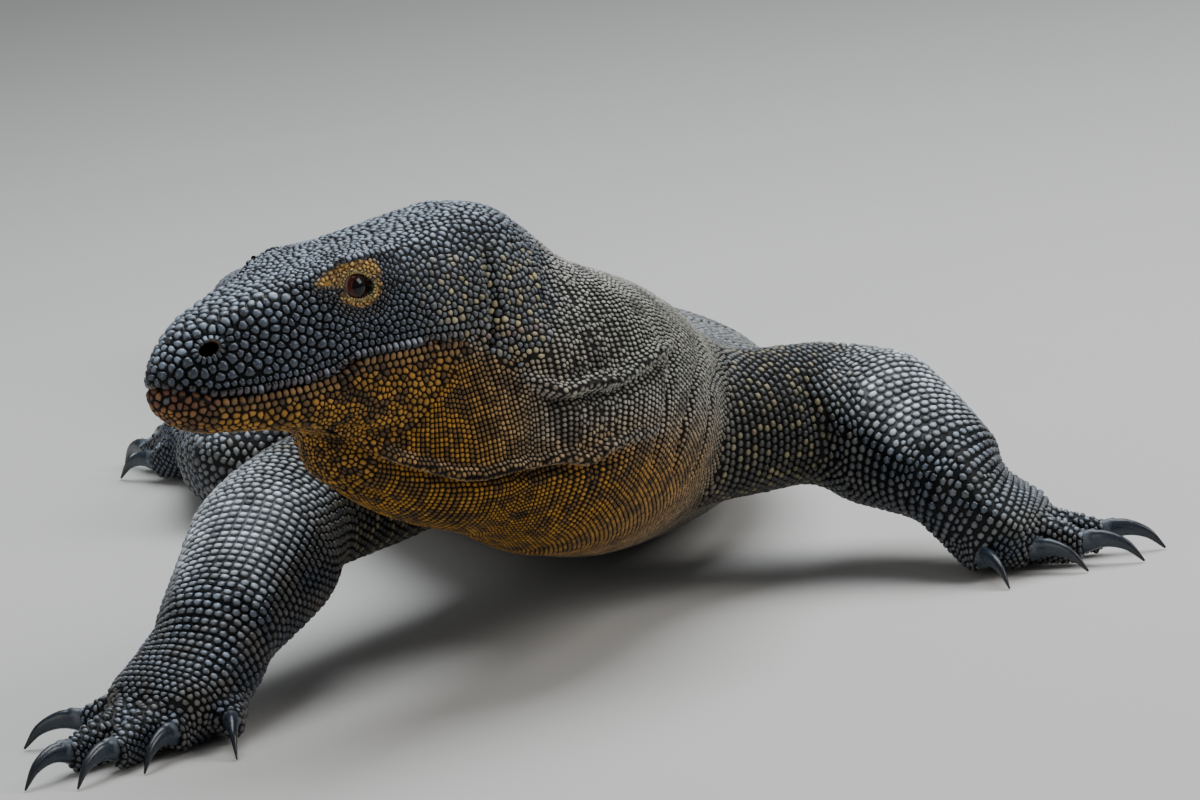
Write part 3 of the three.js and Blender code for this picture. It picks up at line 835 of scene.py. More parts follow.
class Coat:
    """The scales laid so far: place, way out of the skin, way towards the free edge, and size."""

    def __init__(self):
        self.columns = {name: [] for name in ("at", "out", "lie", "size", "owner")}

    def lay(self, at, lie, size, owner):
        """Sets scales on the skin at the places nearest to those given."""
        if not len(at):
            return
        found = [skin_bvh.find_nearest(Vector(p)) for p in at]
        at = np.array([f[0] for f in found])
        out = np.array([f[1] for f in found])
        lie = np.broadcast_to(lie, at.shape)
        lie = unit(lie - out * np.sum(lie * out, axis=1)[:, None])
        size, owner = np.broadcast_to(size, (len(at), 2)), np.broadcast_to(owner, len(at))
        for name, column in zip(self.columns, (at, out, lie, size, owner)):
            self.columns[name].append(np.array(column))

    def column(self, name):
        return np.concatenate(self.columns[name])


ROW_STEP = 0.5  # how finely a route is walked, in mm


def rows(coat, route, grain, reach, allowed, rays, wide_top=0.0):
    """Rows of scales round a route. grain gives a row's depth and its scales' width by station."""
    line, stations, _ = flowing(route, ROW_STEP)
    ways = unit(np.gradient(line, axis=0))
    grain = np.array(grain, float)
    allowed = [FLESH.index(node) for node in allowed]
    angles = np.linspace(0, 2 * math.pi, rays, endpoint=False)
    jump = 5 * reach / rays + 6  # a longer step leads from one part of the body to another
    spot, odd = 0.0, 0
    while spot < len(line) - 1:
        at = int(spot)
        deep, wide = (COARSE * np.interp(stations[at], grain[:, 0], grain[:, k]) for k in (1, 2))
        spot += deep / ROW_STEP
        odd = 1 - odd
        way = ways[at]
        across = unit(np.cross([0, 0, 1], way))
        above = np.cross(way, across)
        start = Vector(line[at])
        ring, tops = [], []
        for angle in angles:
            hit = skin_bvh.ray_cast(start, Vector(across * math.sin(angle) - above * math.cos(angle)), reach)
            ring.append(hit[0] if hit[0] is not None else (np.nan,) * 3)
            tops.append(hit[1][2] if hit[0] is not None else 0)
        ring = np.array(ring + ring[:1])
        steps = np.linalg.norm(np.diff(ring, axis=0), axis=1)
        steps[~(steps < jump)] = np.nan
        room = wide * (1 + wide_top * np.clip(tops, 0, 1) ** 2)
        count = np.concatenate([[0], np.nancumsum(np.where(np.isnan(steps), 0, steps / room))])
        if count[-1] < 1:
            continue
        total = round(count[-1])
        marks = (np.arange(total) + 0.5 * odd + 0.25) * count[-1] / total
        k = np.clip(np.searchsorted(count, marks, side="right") - 1, 0, rays - 1)
        share = (marks - count[k]) / np.maximum(count[k + 1] - count[k], 1e-9)
        places = ring[k] + share[:, None] * (ring[k + 1] - ring[k])
        good = ~np.isnan(places).any(axis=1) & ~np.isnan(steps[k])
        places, widths = places[good], room[k][good]
        if not len(places):
            continue
        owner = owner_of(places)
        mine = np.isin(owner, allowed)
        coat.lay(places[mine], way, np.stack([np.full(mine.sum(), deep), widths[mine]], 1), owner[mine])


# rows round an eye: mm past its opening or share of the lid's reach, how deep and wide the
# scales are, and from where to where they run, in degrees that turn up from ahead
EYE_RING = 1.25
EYE_ROWS = [(0.7, None, EYE_RING, EYE_RING * 1.15, 0, 360)]
EYE_ROWS += [(None, beyond, 1.5, 2.6, 178, 352) for beyond in (1.06, 1.21, 1.37)]
NOSTRIL_BEADS, NOSTRIL_BEAD, RIM_REACH = 15, (2.5, 2.8), 1.75
BROW_ROWS = [(0.0, 3.0, 3.3), (2.6, 3.2, 3.6)]  # mm above the brow's line, depth and width
LIP_WIDE = 3.3
# above or below the mouth's line in mm, height of the scales, length and stagger of the row
LIP_ROWS = [(2.3, 3.6, 150, 0), (5.7, 3.6, 150, 0.5), (-2.3, 3.4, 142, 0), (-5.6, 3.4, 142, 0.5)]


def lay_by_eye(sign):
    """Granules round the eye's opening, and creased rows under it."""
    for number, (past, beyond, deep, wide, start, end) in enumerate(EYE_ROWS):
        middle = math.radians((start + end) / 2)
        far = opening(middle) + past if past else lid_edge(middle) * beyond
        count = int(math.radians(end - start) * far / (wide * COARSE))
        turn = np.radians(start + (end - start) * (np.arange(count) + 0.5 * (number % 2)) / count)
        far = opening(turn) + past if past else lid_edge(turn) * beyond
        spots = []
        for a, u in zip(far * np.cos(turn), far * np.sin(turn)):
            place = [EYE_AHEAD + OPENING_AHEAD + a, sign * FAR_OUT, EYE_UP + OPENING_UP + u]
            spots.append(cast_on_head(skin_bvh, place, [0, -sign, 0]) or on_head(place))
        outward = np.stack([np.cos(turn), 0 * turn, np.sin(turn)], 1) @ HEAD_AXES
        coat.lay(np.array(spots), outward, (deep, wide), HEAD)


def lay_by_nostril(sign):
    """A ring of small beads round the nostril's rim."""
    ring = on_head((nostril_middle + nostril_oval(around(NOSTRIL_BEADS), RIM_REACH)) * [1, sign, 1])
    coat.lay(ring, ring - ring.mean(axis=0), NOSTRIL_BEAD, HEAD)


def lay_brow(sign):
    """Two rows over the eye, from the snout back."""
    for shift, deep, wide in BROW_ROWS:
        raised = mirrored([(x, y - 0.6 * shift, z + shift) for x, y, z in BROW], sign)
        coat.lay(flowing(raised, wide * COARSE)[0], -forward, (wide, deep), HEAD)


def lay_lips(sign):
    """Rows along both lips, which crowd together at the snout's tip."""
    for offset, tall, length, stagger in LIP_ROWS:
        spots = []
        count = int(length / (LIP_WIDE * COARSE))
        for s in (np.arange(count) + stagger) / count:
            start, way = mouth_ray(s, sign)
            spots.append(cast_on_head(skin_bvh, start + [0, 0, offset * min(1, 0.55 + s * 3)], way))
        spots = np.array([spot for spot in spots if spot is not None])
        lie = np.array([0, 0, np.sign(offset)]) @ HEAD_AXES
        coat.lay(spots, lie, (tall, LIP_WIDE * COARSE), HEAD if offset > 0 else JAW)


coat = Coat()
for sign in SIDES.values():
    lay_by_eye(sign)
    lay_by_nostril(sign)
    lay_brow(sign)
    lay_lips(sign)

# on the digits: rings of broad scutes from each claw back to the knuckles
claw_ends = {}
for node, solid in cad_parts.items():
    if "_claw_" not in node:
        continue
    spots = np.array([v.co for v in solid.data.vertices]) / MM - home
    tip = spots[spots[:, 2] < spots[:, 2].min() + CLAW_TIP].mean(axis=0)
    far = np.linalg.norm(spots - tip, axis=1)
    base = spots[far > CLAW_BASE * far.max()].mean(axis=0)
    claw_ends[node] = (base, tip)
    behind = unit((base - tip) * [1, 1, 0])
    hand = ("hand_" if node.startswith("finger") else "foot_") + node.rsplit("_", 1)[1]
    route = [base + behind * back + (0, 0, up) for back, up in DIGIT_ROUTE]
    rows(coat, route, DIGIT_GRAIN, DIGIT_REACH, [hand], DIGIT_RAYS, DIGIT_WIDE_TOP)


def limb_nodes(limb):
    """The nodes of a limb such as arm_left."""
    kind, side = limb.split("_")
    return [f"{part}_{side}" for part in (LIMB_PARTS[:3] if kind == "arm" else LIMB_PARTS[3:])]


for limb, joints in LIMB_JOINTS.items():
    rows(coat, joints, LIMB_GRAIN[limb[:3]], LIMB_REACH, limb_nodes(limb), LIMB_RAYS, LIMB_WIDE_TOP)
spine_nodes = ["neck", "trunk", "tail_base", "tail_middle", "tail_tip"]
rows(coat, SPINE, SPINE_GRAIN, SPINE_REACH, spine_nodes, SPINE_RAYS)

at, out, lie, size, owner = (coat.column(name) for name in coat.columns)

NOSTRIL_CLEAR, EAR_CLEAR = 1.18, 2.6  # no scale nearer: share of a nostril's reach, and mm
OWN_ROOM, SEEK_ROOM = 0.6, 0.62  # shares of a scale's size in which no other has its root


def off_holes(places):
    """False in the nostrils and ears."""
    clear = np.ones(len(places), bool)
    for sign in SIDES.values():
        clear &= nostril_place(places, sign)[0] > NOSTRIL_CLEAR
        clear &= line_distance(places, mirrored(EAR_HOLE, sign))[0] > EAR_CLEAR
    return clear


def keep_clear(at, out, lie, size):
    """False for each scale whose root lies in the room of one laid before it."""
    near = search_tree(at)
    kept = np.ones(len(at), bool)
    broad = np.cross(out, lie) / (OWN_ROOM * size[:, 1:])
    long = lie / (OWN_ROOM * size[:, :1])
    for index, spot in enumerate(at):
        if not kept[index]:
            continue
        others = [other for _, other, _ in near.find_range(spot, SEEK_ROOM * size[index].max())
                  if other > index]
        if others:
            offset = at[others] - spot
            inside = (offset @ broad[index]) ** 2 + (offset @ long[index]) ** 2 < 1
            kept[np.array(others)[inside]] = False
    return kept


kept = keep_clear(at, out, lie, size) & off_holes(at)
at, out, lie, size, owner = (column[kept] for column in (at, out, lie, size, owner))

# how broad the scales are that fill the gaps between rows, by part
NODE_GRAIN = {"head": 3, "lower_jaw": 3, "neck": 2.3, "trunk": 3.9, "tail_base": 4.2, "tail_middle": 3.8,
              "tail_tip": 2.8, "thigh": 4.2, "shank": 3.9, "foot": 2.9, "upper_arm": 3.6, "forearm": 4.0,
              "hand": 3.0}
LID_GRAIN = 1.45
LID_COVERS, CUP_COVERS = 0.97, 1.7  # shares of a lid's and a nostril's reach
HEAD_CANDIDATES, BODY_CANDIDATES = ((90000, 160000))
FACE_TIGHT, GAP_TIGHT = 0.93, 0.86  # how near two packed scales may stand, as a share of their grain
FACE_ROUNDS = 4  # of evening out
BY_HEAD = 220  # mm from the ears' middle
FACE_BACK, FACE_END = -75, -60  # how far back the face's pool is drawn from, on the head and along y
CELL = 4.5 * COARSE
GAP_SIZE = 0.95
UNDERSIDE = 0.8  # no gap is filled this near the floor


def head_grain(points):
    """How broad the scales of the head are: coarse on the snout, fine at the jaw and temple."""
    ahead, _, up = from_head(points).T
    grain = 2.5 + 1.3 * smoothstep(ahead, 66, 112) - 0.6 * smoothstep(ahead, 148, 160)
    grain += 0.6 * smoothstep(up, 20, 34) * (1 - smoothstep(ahead, 60, 100))
    grain -= 1.1 * smoothstep(ahead, 30, 90) * smoothstep(-up, 22, 30)
    for sign in SIDES.values():
        beside = beside_lid(points, sign)
        grain -= 0.9 * (1 - smoothstep(beside, 1.2, 2.0))
        grain = np.where(beside < 1, LID_GRAIN, grain)
    return grain * COARSE


def scattered(count, wanted):
    """Random places on skin, lids and nostrils where wanted() is true, evenly spread by area."""
    corners = skin_points[skin_triangles]
    area = np.linalg.norm(np.cross(corners[:, 1] - corners[:, 0], corners[:, 2] - corners[:, 0]), axis=1)
    middles = corners.mean(axis=1)
    covered = by_lid_or_nostril(middles, LID_COVERS, CUP_COVERS) & (np.arange(len(area)) < skin_only)
    area *= wanted(middles) & ~covered & off_holes(middles)
    pick = dice.choice(len(area), count, p=area / area.sum())
    u, v = dice.random((2, count))
    over = u + v > 1
    u[over], v[over] = 1 - u[over], 1 - v[over]
    a, b, c = corners[pick].transpose(1, 0, 2)
    return a + u[:, None] * (b - a) + v[:, None] * (c - a)


def packed(candidates, grain, laid, laid_grain, tight):
    """Picks places so that no two lie closer than their grain, nor close to a scale laid already."""
    grid = {}
    for spot, room in zip(laid, laid_grain):
        grid.setdefault(tuple((spot // CELL).astype(int)), []).append((*spot, room))
    chosen = []
    offsets = [(i, j, k) for i in (-1, 0, 1) for j in (-1, 0, 1) for k in (-1, 0, 1)]
    for index, (x, y, z) in enumerate(candidates.tolist()):
        i, j, k = int(x // CELL), int(y // CELL), int(z // CELL)
        room = grain[index]
        clear = True
        for di, dj, dk in offsets:
            for a, b, c, other in grid.get((i + di, j + dj, k + dk), ()):
                gap = tight * (room + other) / 2
                if (x - a) ** 2 + (y - b) ** 2 + (z - c) ** 2 < gap * gap:
                    clear = False
                    break
            if not clear:
                break
        if clear:
            grid.setdefault((i, j, k), []).append((x, y, z, room))
            chosen.append(index)
    return chosen


def evened(spots, pool, others):
    """The spots, each moved to the middle of the places of the pool that lie nearest to it."""
    found = nearest(pool, search_tree(np.concatenate([spots, others])))
    mine = found < len(spots)
    crowd = np.maximum(np.bincount(found[mine], minlength=len(spots)), 1)
    return np.stack([np.bincount(found[mine], column[mine], len(spots)) / crowd for column in pool.T], 1)


def roomy(spots, others, grain):
    """Each spot's grain, fitted to how far its nearest neighbours lie."""
    near = search_tree(np.concatenate([spots, others]))
    gaps = np.array([[found[2] for found in near.find_n(spot, 6)] for spot in spots])
    return np.clip(0.42 * gaps[:, 1] + 0.6 * gaps[:, 1:].mean(axis=1), 0.75 * grain, 1.4 * grain)


def by_head(middles):
    return (from_head(middles)[:, 0] > FACE_BACK) & (middles[:, 1] < FACE_END)


# the face: pebbles packed between the rows
pool = scattered(HEAD_CANDIDATES, by_head)
pool = pool[np.isin(owner_of(pool), [HEAD, JAW])]
laid_head = np.linalg.norm(at - EARS, axis=1) < BY_HEAD
spots = pool[packed(pool, head_grain(pool), at[laid_head], size[laid_head].mean(axis=1), FACE_TIGHT)]
for _ in range(FACE_ROUNDS):
    spots = evened(spots, pool, at[laid_head])
face = Coat()
grain = roomy(spots, at[laid_head], head_grain(spots))
face.lay(spots, -forward, np.stack([grain, grain], 1), owner_of(spots))

# elsewhere: a few more wherever the rows leave a gap
pool = scattered(BODY_CANDIDATES, lambda middles: middles[:, 2] > UNDERSIDE)
pool_owner = owner_of(pool)
elsewhere = ~np.isin(pool_owner, [HEAD, JAW])
pool, pool_owner = pool[elsewhere], pool_owner[elsewhere]
pool_grain = np.array([NODE_GRAIN[part_of(node)] for node in FLESH])[pool_owner] * COARSE
laid, laid_grain = np.concatenate([at, face.column("at")]), np.concatenate([size.mean(axis=1), grain])
chosen = packed(pool, pool_grain, laid, laid_grain, GAP_TIGHT)
routes = [flowing(route, 4)[0] for route in (SPINE, *LIMB_JOINTS.values())]
ways = np.concatenate([np.gradient(route, axis=0) for route in routes])
ways = ways[nearest(pool[chosen], search_tree(np.concatenate(routes)))]
grain = roomy(pool[chosen], laid, pool_grain[chosen])
filling = Coat()
filling.lay(pool[chosen], ways, np.stack([grain, grain], 1) * GAP_SIZE, pool_owner[chosen])
at, out, lie, size, owner = (np.concatenate([column, face.column(name), filling.column(name)])
                             for column, name in zip((at, out, lie, size, owner), coat.columns))

# Each scale is a bead that fills its own share of the hide: a foot sunk in the skin, a shoulder
# and a low crown. Those seen closest have a ring more and a rounder dome.
SUNK, FILL = 0.35, 0.95
ROW_GAP = 0.86  # a limb's rings of scales stand apart
OWN_WIDE, OWN_DEEP = 0.577, 0.667  # a bead's own reach across and along, as shares of its room
LEAST, MOST = 0.55, 1.33  # how its neighbours may change that
GIRTH_TO_SIZE = 1.73
LIT_SIDE = 0.3  # how much lighter its upper side is
CROWN_SLIP = 0.1
LOWEST = 0.1
# rings of a bead: share of its size, share of its height, slip towards its free edge, and shade
LOW_DOME = [(1.0, None, 0.0, 0.0), (0.70, 0.72, 0.06, 0.75)]
ROUND_DOME = [(1.0, None, 0.0, 0.0), (0.86, 0.50, 0.03, 0.40), (0.54, 0.90, 0.06, 0.85)]
# how many corners a bead has, and its dome, by the first part that a piece of the coat covers
SHAPES = {"head": (8, ROUND_DOME), "lower_jaw": (8, ROUND_DOME), "neck": (6, ROUND_DOME),
          "upper_arm": (6, ROUND_DOME)}
# how high the beads are, as a share of their size
BUMP = {"head": 0.36, "lower_jaw": 0.33, "neck": 0.38, "trunk": 0.3, "tail_base": 0.28, "tail_middle": 0.28,
        "tail_tip": 0.28, "upper_arm": 0.36, "forearm": 0.38, "hand": 0.36, "thigh": 0.3, "shank": 0.3,
        "foot": 0.3}
PIECE_TRIANGLES = 190000
NEIGHBOURS = 12
side_way = np.cross(out, lie)
near = search_tree(at)
beside = np.array([[found[1] for found in near.find_n(spot, NEIGHBOURS + 1)][1:] for spot in at])
on_limb = np.array([part_of(node) in LIMB_PARTS for node in FLESH])[owner]
bump = np.array([BUMP[part_of(node)] for node in FLESH])[owner] * dice.uniform(0.85, 1.15, len(at))
tint = dice.random(len(at))


def outlines(picked, corners):
    """Each bead's corners from its root: as far as the line half way to its neighbours, and no
    further than a third past its own size."""
    turn = around(corners, 0.5)
    offset = at[beside[picked]] - at[picked][:, None]
    across = np.sum(offset * side_way[picked][:, None], axis=2)
    along = np.sum(offset * lie[picked][:, None], axis=2)
    mean = size.mean(axis=1)
    share = mean[picked][:, None] / (mean[picked][:, None] + mean[beside[picked]])
    meets = np.sum(offset**2, axis=2) * share
    towards = across[..., None] * np.cos(turn) + along[..., None] * np.sin(turn)
    reach = np.min(meets[..., None] / np.maximum(towards, 0.01), axis=1)
    deep, wide = size[picked, :1], size[picked, 1:]
    own = 1 / np.hypot(np.cos(turn) / (OWN_WIDE * wide), np.sin(turn) / (OWN_DEEP * deep))
    reach = FILL * np.clip(reach, LEAST * own, MOST * own)
    narrow = np.where(on_limb[picked], ROW_GAP, 1.0)[:, None]
    return ((np.cos(turn) * reach)[..., None] * side_way[picked][:, None]
            + (np.sin(turn) * reach * narrow)[..., None] * lie[picked][:, None])


def beads(picked, corners, dome):
    """Points of the picked scales, ring by ring with the crown last, and how light each is painted: painted
    shade at the foot, painted highlight at the crown.
    """
    spots = outlines(picked, corners)
    middle = spots.mean(axis=1, keepdims=True)
    girth = np.linalg.norm(spots - middle, axis=2)
    mean_girth = girth.mean(axis=1)
    height = GIRTH_TO_SIZE * bump[picked] * mean_girth
    upper = (spots - middle)[..., 2] / girth
    rings, shades = [], []
    for spread, lift, slip, shade in dome:
        rise = np.full(len(picked), -SUNK) if lift is None else height * lift
        moved = lie[picked] * (slip * mean_girth)[:, None] + out[picked] * rise[:, None]
        rings.append(at[picked][:, None] + middle + spread * (spots - middle) + moved[:, None])
        shades.append(shade + LIT_SIDE * spread * upper * (lift is not None))
    crown = at[picked] + middle[:, 0] + out[picked] * height[:, None]
    crown += lie[picked] * (CROWN_SLIP * mean_girth)[:, None]
    made = np.concatenate([*rings, crown[:, None]], axis=1)
    made[..., 2] = np.maximum(made[..., 2], LOWEST)
    return made.reshape(-1, 3), np.concatenate([*shades, np.ones((len(picked), 1))], axis=1).ravel()


def bead_faces(corners, dome):
    faces = []
    last = corners * (len(dome) - 1)
    for k in range(corners):
        after = (k + 1) % corners
        for low in range(0, last, corners):
            high = low + corners
            faces += [(low + k, low + after, high + after), (low + k, high + after, high + k)]
        faces.append((last + k, last + after, last + corners))
    return np.array(faces)


def cylinder_map(points, route):
    """The skin unrolled round a route: turn across, length up."""
    line, _, length = flowing(route, 3)
    ways = unit(np.gradient(line, axis=0))
    k = nearest(points, search_tree(line))
    across = unit(np.cross([0, 0, 1], ways[k]))
    above = np.cross(ways[k], across)
    away = points - line[k]
    turn = np.arctan2(np.sum(away * across, 1), np.sum(away * above, 1)) / (2 * math.pi) + 0.5
    return np.stack([turn, (length[k] + np.sum(away * ways[k], 1)) / length[-1]], 1) * 0.96 + 0.02


# The hide's colours: slate on the head's top and the lower limbs, grey on the neck with painted top light
# along the nape, gold under the jaw and throat, ochre lids and rusty lips, all broken by dark blotches.
SLATE = (0.026, 0.034, 0.050)
# painted top light: the pale slate of upward faces, lit from above
TOP_LIGHT = (0.200, 0.245, 0.310)
GREY = (0.210, 0.207, 0.182)
# painted light: pale grey for the lit nape and the crests of folds
LIT_PALE = (0.360, 0.350, 0.330)
GOLD = (0.230, 0.110, 0.012)
# dust with painted top light, for the forearms' upper faces
DUST_AND_TOP_LIGHT = (0.500, 0.550, 0.600)
OCHRE = (0.430, 0.250, 0.060)
YELLOW = (0.460, 0.360, 0.120)
RUST = (0.130, 0.052, 0.030)
TAN = (0.110, 0.075, 0.040)
STRAW = (0.260, 0.215, 0.105)
# near black: dark blotches, and painted shade under the eyes
DARK_BLOTCH_AND_SHADE = (0.012, 0.011, 0.012)
NOSTRIL_RIM = (0.190, 0.085, 0.040)
# painted shade, near black, inside the nostrils and ear slits
HOLE = (0.002, 0.002, 0.002)
# how much each part of the body counts as slaty, head, limb, upper arm, forearm and hand
ZONES = {
    "head": (1.0, 1, 0, 0, 0, 0), "lower_jaw": (0.25, 0, 0, 0, 0, 0), "neck": (0.0, 0, 0, 0, 0, 0),
    "trunk": (0.35, 0, 0, 0, 0, 0), "tail_base": (0.5, 0, 0, 0, 0, 0), "tail_middle": (0.6, 0, 0, 0, 0, 0),
    "tail_tip": (0.7, 0, 0, 0, 0, 0), "upper_arm": (0.55, 0, 1, 1, 0, 0), "forearm": (1.0, 0, 1, 0, 1, 0),
    "hand": (1.0, 0, 1, 0, 0, 1), "thigh": (0.75, 0, 1, 0, 0, 0), "shank": (0.95, 0, 1, 0, 0.4, 0),
    "foot": (1.0, 0, 1, 0, 0, 0.5),
}
ZONE_ROUNDS = 120  # of softening where they meet
zone_spots, _, zone_edges, _ = mesh_arrays(skin.data)
zones = np.array([ZONES[part_of(node)] for node in FLESH])
zones = soften(zones[owner_of(zone_spots)], zone_edges, 0.5, ZONE_ROUNDS)
zone_near = search_tree(zone_spots)
spine_line, spine_station, _ = flowing(SPINE, 4)
spine_near = search_tree(spine_line)


def blotches(points, wide, start):
    """Smooth random values from about -1 to 1, in spots about wide mm across, from a start of
    their own."""
    return np.array([noise.noise(Vector(p)) for p in points / wide + start]) * 1.8


# mixes a colour towards another by weight: the hide's real colours, and painted light and shade alike
def mix_towards(colour, other_colour, weight):
    return colour + (np.array(other_colour) - colour) * np.clip(weight, 0, 1)[:, None]


# painted highlight along the crests of the pale folds
def paint_fold_highlights(colour, points):
    for line in fold_highlight_lines:
        gap, _ = line_distance(points, line)
        colour = mix_towards(colour, LIT_PALE, 0.7 * np.exp(-((gap / 2.6) ** 2)))
    return colour


def colour_lids(colour, points):
    """Ochre lids with a yellow rim, mottled with rust, and painted shade in the hollow under each eye."""
    for sign in SIDES.values():
        far, angle, _ = eye_place(points, sign)
        past = far - opening(angle)
        beside = far / lid_edge(angle)
        upper = smoothstep(np.sin(angle - 0.04), -0.02, 0.12) * (1 - smoothstep(beside, 0.84, 0.98))
        upper *= 1 - smoothstep(np.degrees(angle), 146, 172) * (np.degrees(angle) < 300)
        lower = (1 - smoothstep(past, 3.2, 4.6)) * smoothstep(-np.sin(angle + 0.25), -0.1, 0.25)
        warm = np.maximum(upper, lower)
        shaded = smoothstep(-np.sin(angle), -0.5, 0.1)
        # painted shade on the lower side of the eye
        colour = mix_towards(colour, DARK_BLOTCH_AND_SHADE, 0.75 * shaded * (1 - smoothstep(beside, 1.15, 1.6)))
        colour = mix_towards(colour, OCHRE, warm)
        colour = mix_towards(colour, YELLOW, 0.8 * warm * np.exp(-(((past - 1.2) / 1.0) ** 2)))
        mottle = smoothstep(blotches(points, 2.6, 8.1), 0.12, 0.5) * smoothstep(past, 2, 3)
        crease = np.exp(-(((past - 3.1) / 0.6) ** 2))
        colour = mix_towards(colour, RUST, 0.75 * warm * np.maximum(mottle, crease))
        colour = mix_towards(colour, DARK_BLOTCH_AND_SHADE, np.exp(-((past / 0.7) ** 2)))
    return colour


def colour_holes(colour, points):
    """The nostrils, whose rims are tan behind and above, with painted shade, near black, down the nostrils
    and the ears' slits.
    """
    for sign in SIDES.values():
        share, behind = nostril_place(points, sign)
        rim = (1 - smoothstep(share, 1.12, 1.3)) * (0.2 + 0.8 * smoothstep(behind, 1, 5))
        colour = mix_towards(colour, NOSTRIL_RIM, rim)
        gap = line_distance(points, mirrored(EAR_HOLE, sign))[0]
        hole = np.maximum(1 - smoothstep(share, 0.93, 1.0), 1 - smoothstep(gap, 1.9, 2.4))
        colour = mix_towards(colour, HOLE, hole)
    return colour


def hide_colour(points, owner, outward):
    """The hide's colour at each point, with painted light and shade in it, how glossy it is, and how much
    dust with painted top light it carries.
    """
    ahead, _, up = from_head(points).T
    is_head, is_jaw = owner == HEAD, owner == JAW
    slaty, heady, limby, arm, forearm, hand = zones[nearest(points, zone_near)].T
    beside_spine = nearest(points, spine_near)
    station = spine_station[beside_spine]
    away = points - spine_line[beside_spine]
    rise = away[:, 2] / np.maximum(np.linalg.norm(away, axis=1), 1)
    body = ~(is_head | is_jaw) * (1 - limby)
    neck = body * (1 - smoothstep(station, 4.2, 7.6))
    fine, broad = blotches(points, 5.5, 11.3), blotches(points, 15.0, 3.7)
    above_lip = up - np.interp(ahead, *MOUTH_LINE.T)

    # the neck and trunk, with painted top light along the nape and gold below
    colour = np.tile(GREY, (len(points), 1))
    colour = mix_towards(colour, LIT_PALE, 0.85 * neck * smoothstep(station, 1.2, 3.0) * smoothstep(rise, 0.45, 0.95))
    throat = neck * smoothstep(-rise, 0.06, 0.66) * (1 - 0.7 * smoothstep(station, 3, 6.5))
    throat += 0.25 * (1 - neck) * smoothstep(-rise, 0.2, 0.8)
    front = neck * (1 - smoothstep(station, 1.0, 3.2)) * smoothstep(-up, 8, 26)
    golden = np.maximum(throat, front)
    colour = mix_towards(colour, GOLD, golden)
    # slate, which fades to brown at the temple and ends at the lip, with painted top light on upward faces,
    # less on the hand as painted shade, and dust with painted top light on the forearms' tops
    temple = is_head * (1 - smoothstep(ahead, 12, 48)) * (1 - smoothstep(up, 14, 34))
    slate = np.where(is_head, 1 - 0.22 * temple, slaty * (1 - 0.8 * neck) * (0.85 + 0.3 * broad))
    behind_head = neck * (1 - smoothstep(station, 0.8, 2.6)) * smoothstep(up, 4, 26)
    head_edge = neck * smoothstep(heady, 0.04, 0.5) * smoothstep(up, -20, 0)
    slate = np.maximum(slate, np.maximum(0.72 * behind_head, head_edge))
    colour = mix_towards(colour, SLATE, slate)
    top_light = smoothstep(outward[:, 2], 0.2, 0.95) * (1 - 0.45 * hand)
    share = np.where(is_head, 0.7 + 0.3 * smoothstep(ahead, 60, 110), 0.85)
    colour = mix_towards(colour, TOP_LIGHT, slate * top_light * share * (1 + 0.8 * fine))
    # dust with painted top light on the forearms' upper faces
    dust_and_top_light = forearm * smoothstep(outward[:, 2], 0.25, 0.8)
    colour = mix_towards(colour, DUST_AND_TOP_LIGHT, dust_and_top_light * (1 + 0.6 * fine))
    huge = blotches(points, 42.0, 1.9)
    colour = mix_towards(colour, DARK_BLOTCH_AND_SHADE, 0.4 * body * (1 - neck) * smoothstep(huge, 0.0, 0.7))
    speck = smoothstep(blotches(points, 3.4, 5.9), 0.12, 0.5)
    colour = mix_towards(colour, STRAW, np.maximum(0.8 * temple, 0.7 * behind_head) * speck)
    # painted shade: the upper arms are darkened as if lying in shade, then flecked with straw spots
    colour *= (1 - 0.86 * arm)[:, None]
    colour = mix_towards(colour, STRAW, 0.55 * arm * speck)
    colour = paint_fold_highlights(colour, points)
    # the jaw: mottled gold, tan near the lip
    colour = mix_towards(colour, GOLD, is_jaw * 0.95)
    colour = mix_towards(colour, TAN, is_jaw * (1 - smoothstep(-above_lip, 4, 11)) * 0.7)
    dark = smoothstep(fine, 0.10, 0.42)
    colour = mix_towards(colour, DARK_BLOTCH_AND_SHADE, (is_jaw * 0.75 + golden * neck * 0.6) * dark)
    colour = mix_towards(colour, DARK_BLOTCH_AND_SHADE, 0.6 * neck * smoothstep(broad, 0.3, 0.8))
    # the lips
    lip = (is_head | is_jaw) * np.exp(-((above_lip / 2.4) ** 2))
    colour = mix_towards(colour, RUST, lip * (0.4 + 0.5 * smoothstep(ahead, 125, 158)))
    colour = mix_towards(colour, RUST, 0.5 * is_jaw * smoothstep(ahead, 135, 155))
    colour = colour_holes(colour_lids(colour, points), points)
    gloss = np.clip(np.maximum(slate, 0.3), 0, 1) * (1 - 0.5 * is_jaw)
    return colour * (1 + 0.22 * broad)[:, None], gloss, dust_and_top_light


def write_values(mesh, name, values):
    """Writes one value a point onto a mesh, for its material to read."""
    values = np.asarray(values, np.float32)
    mesh.attributes.new(name, "FLOAT", "POINT").data.foreach_set("value", values)


def paint(mesh, colour, gloss, tint, crown):
    """Writes what the hide's materials read onto a mesh."""
    shade = np.concatenate([np.clip(colour, 0, 1), gloss[:, None]], 1).astype(np.float32)
    mesh.attributes.new("hide", "FLOAT_COLOR", "POINT").data.foreach_set("color", shade.ravel())
    write_values(mesh, "tint", tint)
    write_values(mesh, "crown", crown)


RIM, TOP = 0.04, 1.5  # painted shade at a scale's rim and painted highlight on its crown: how light each is
RIM_END = 0.18
GRAIN_DEEP = 0.0004  # metres


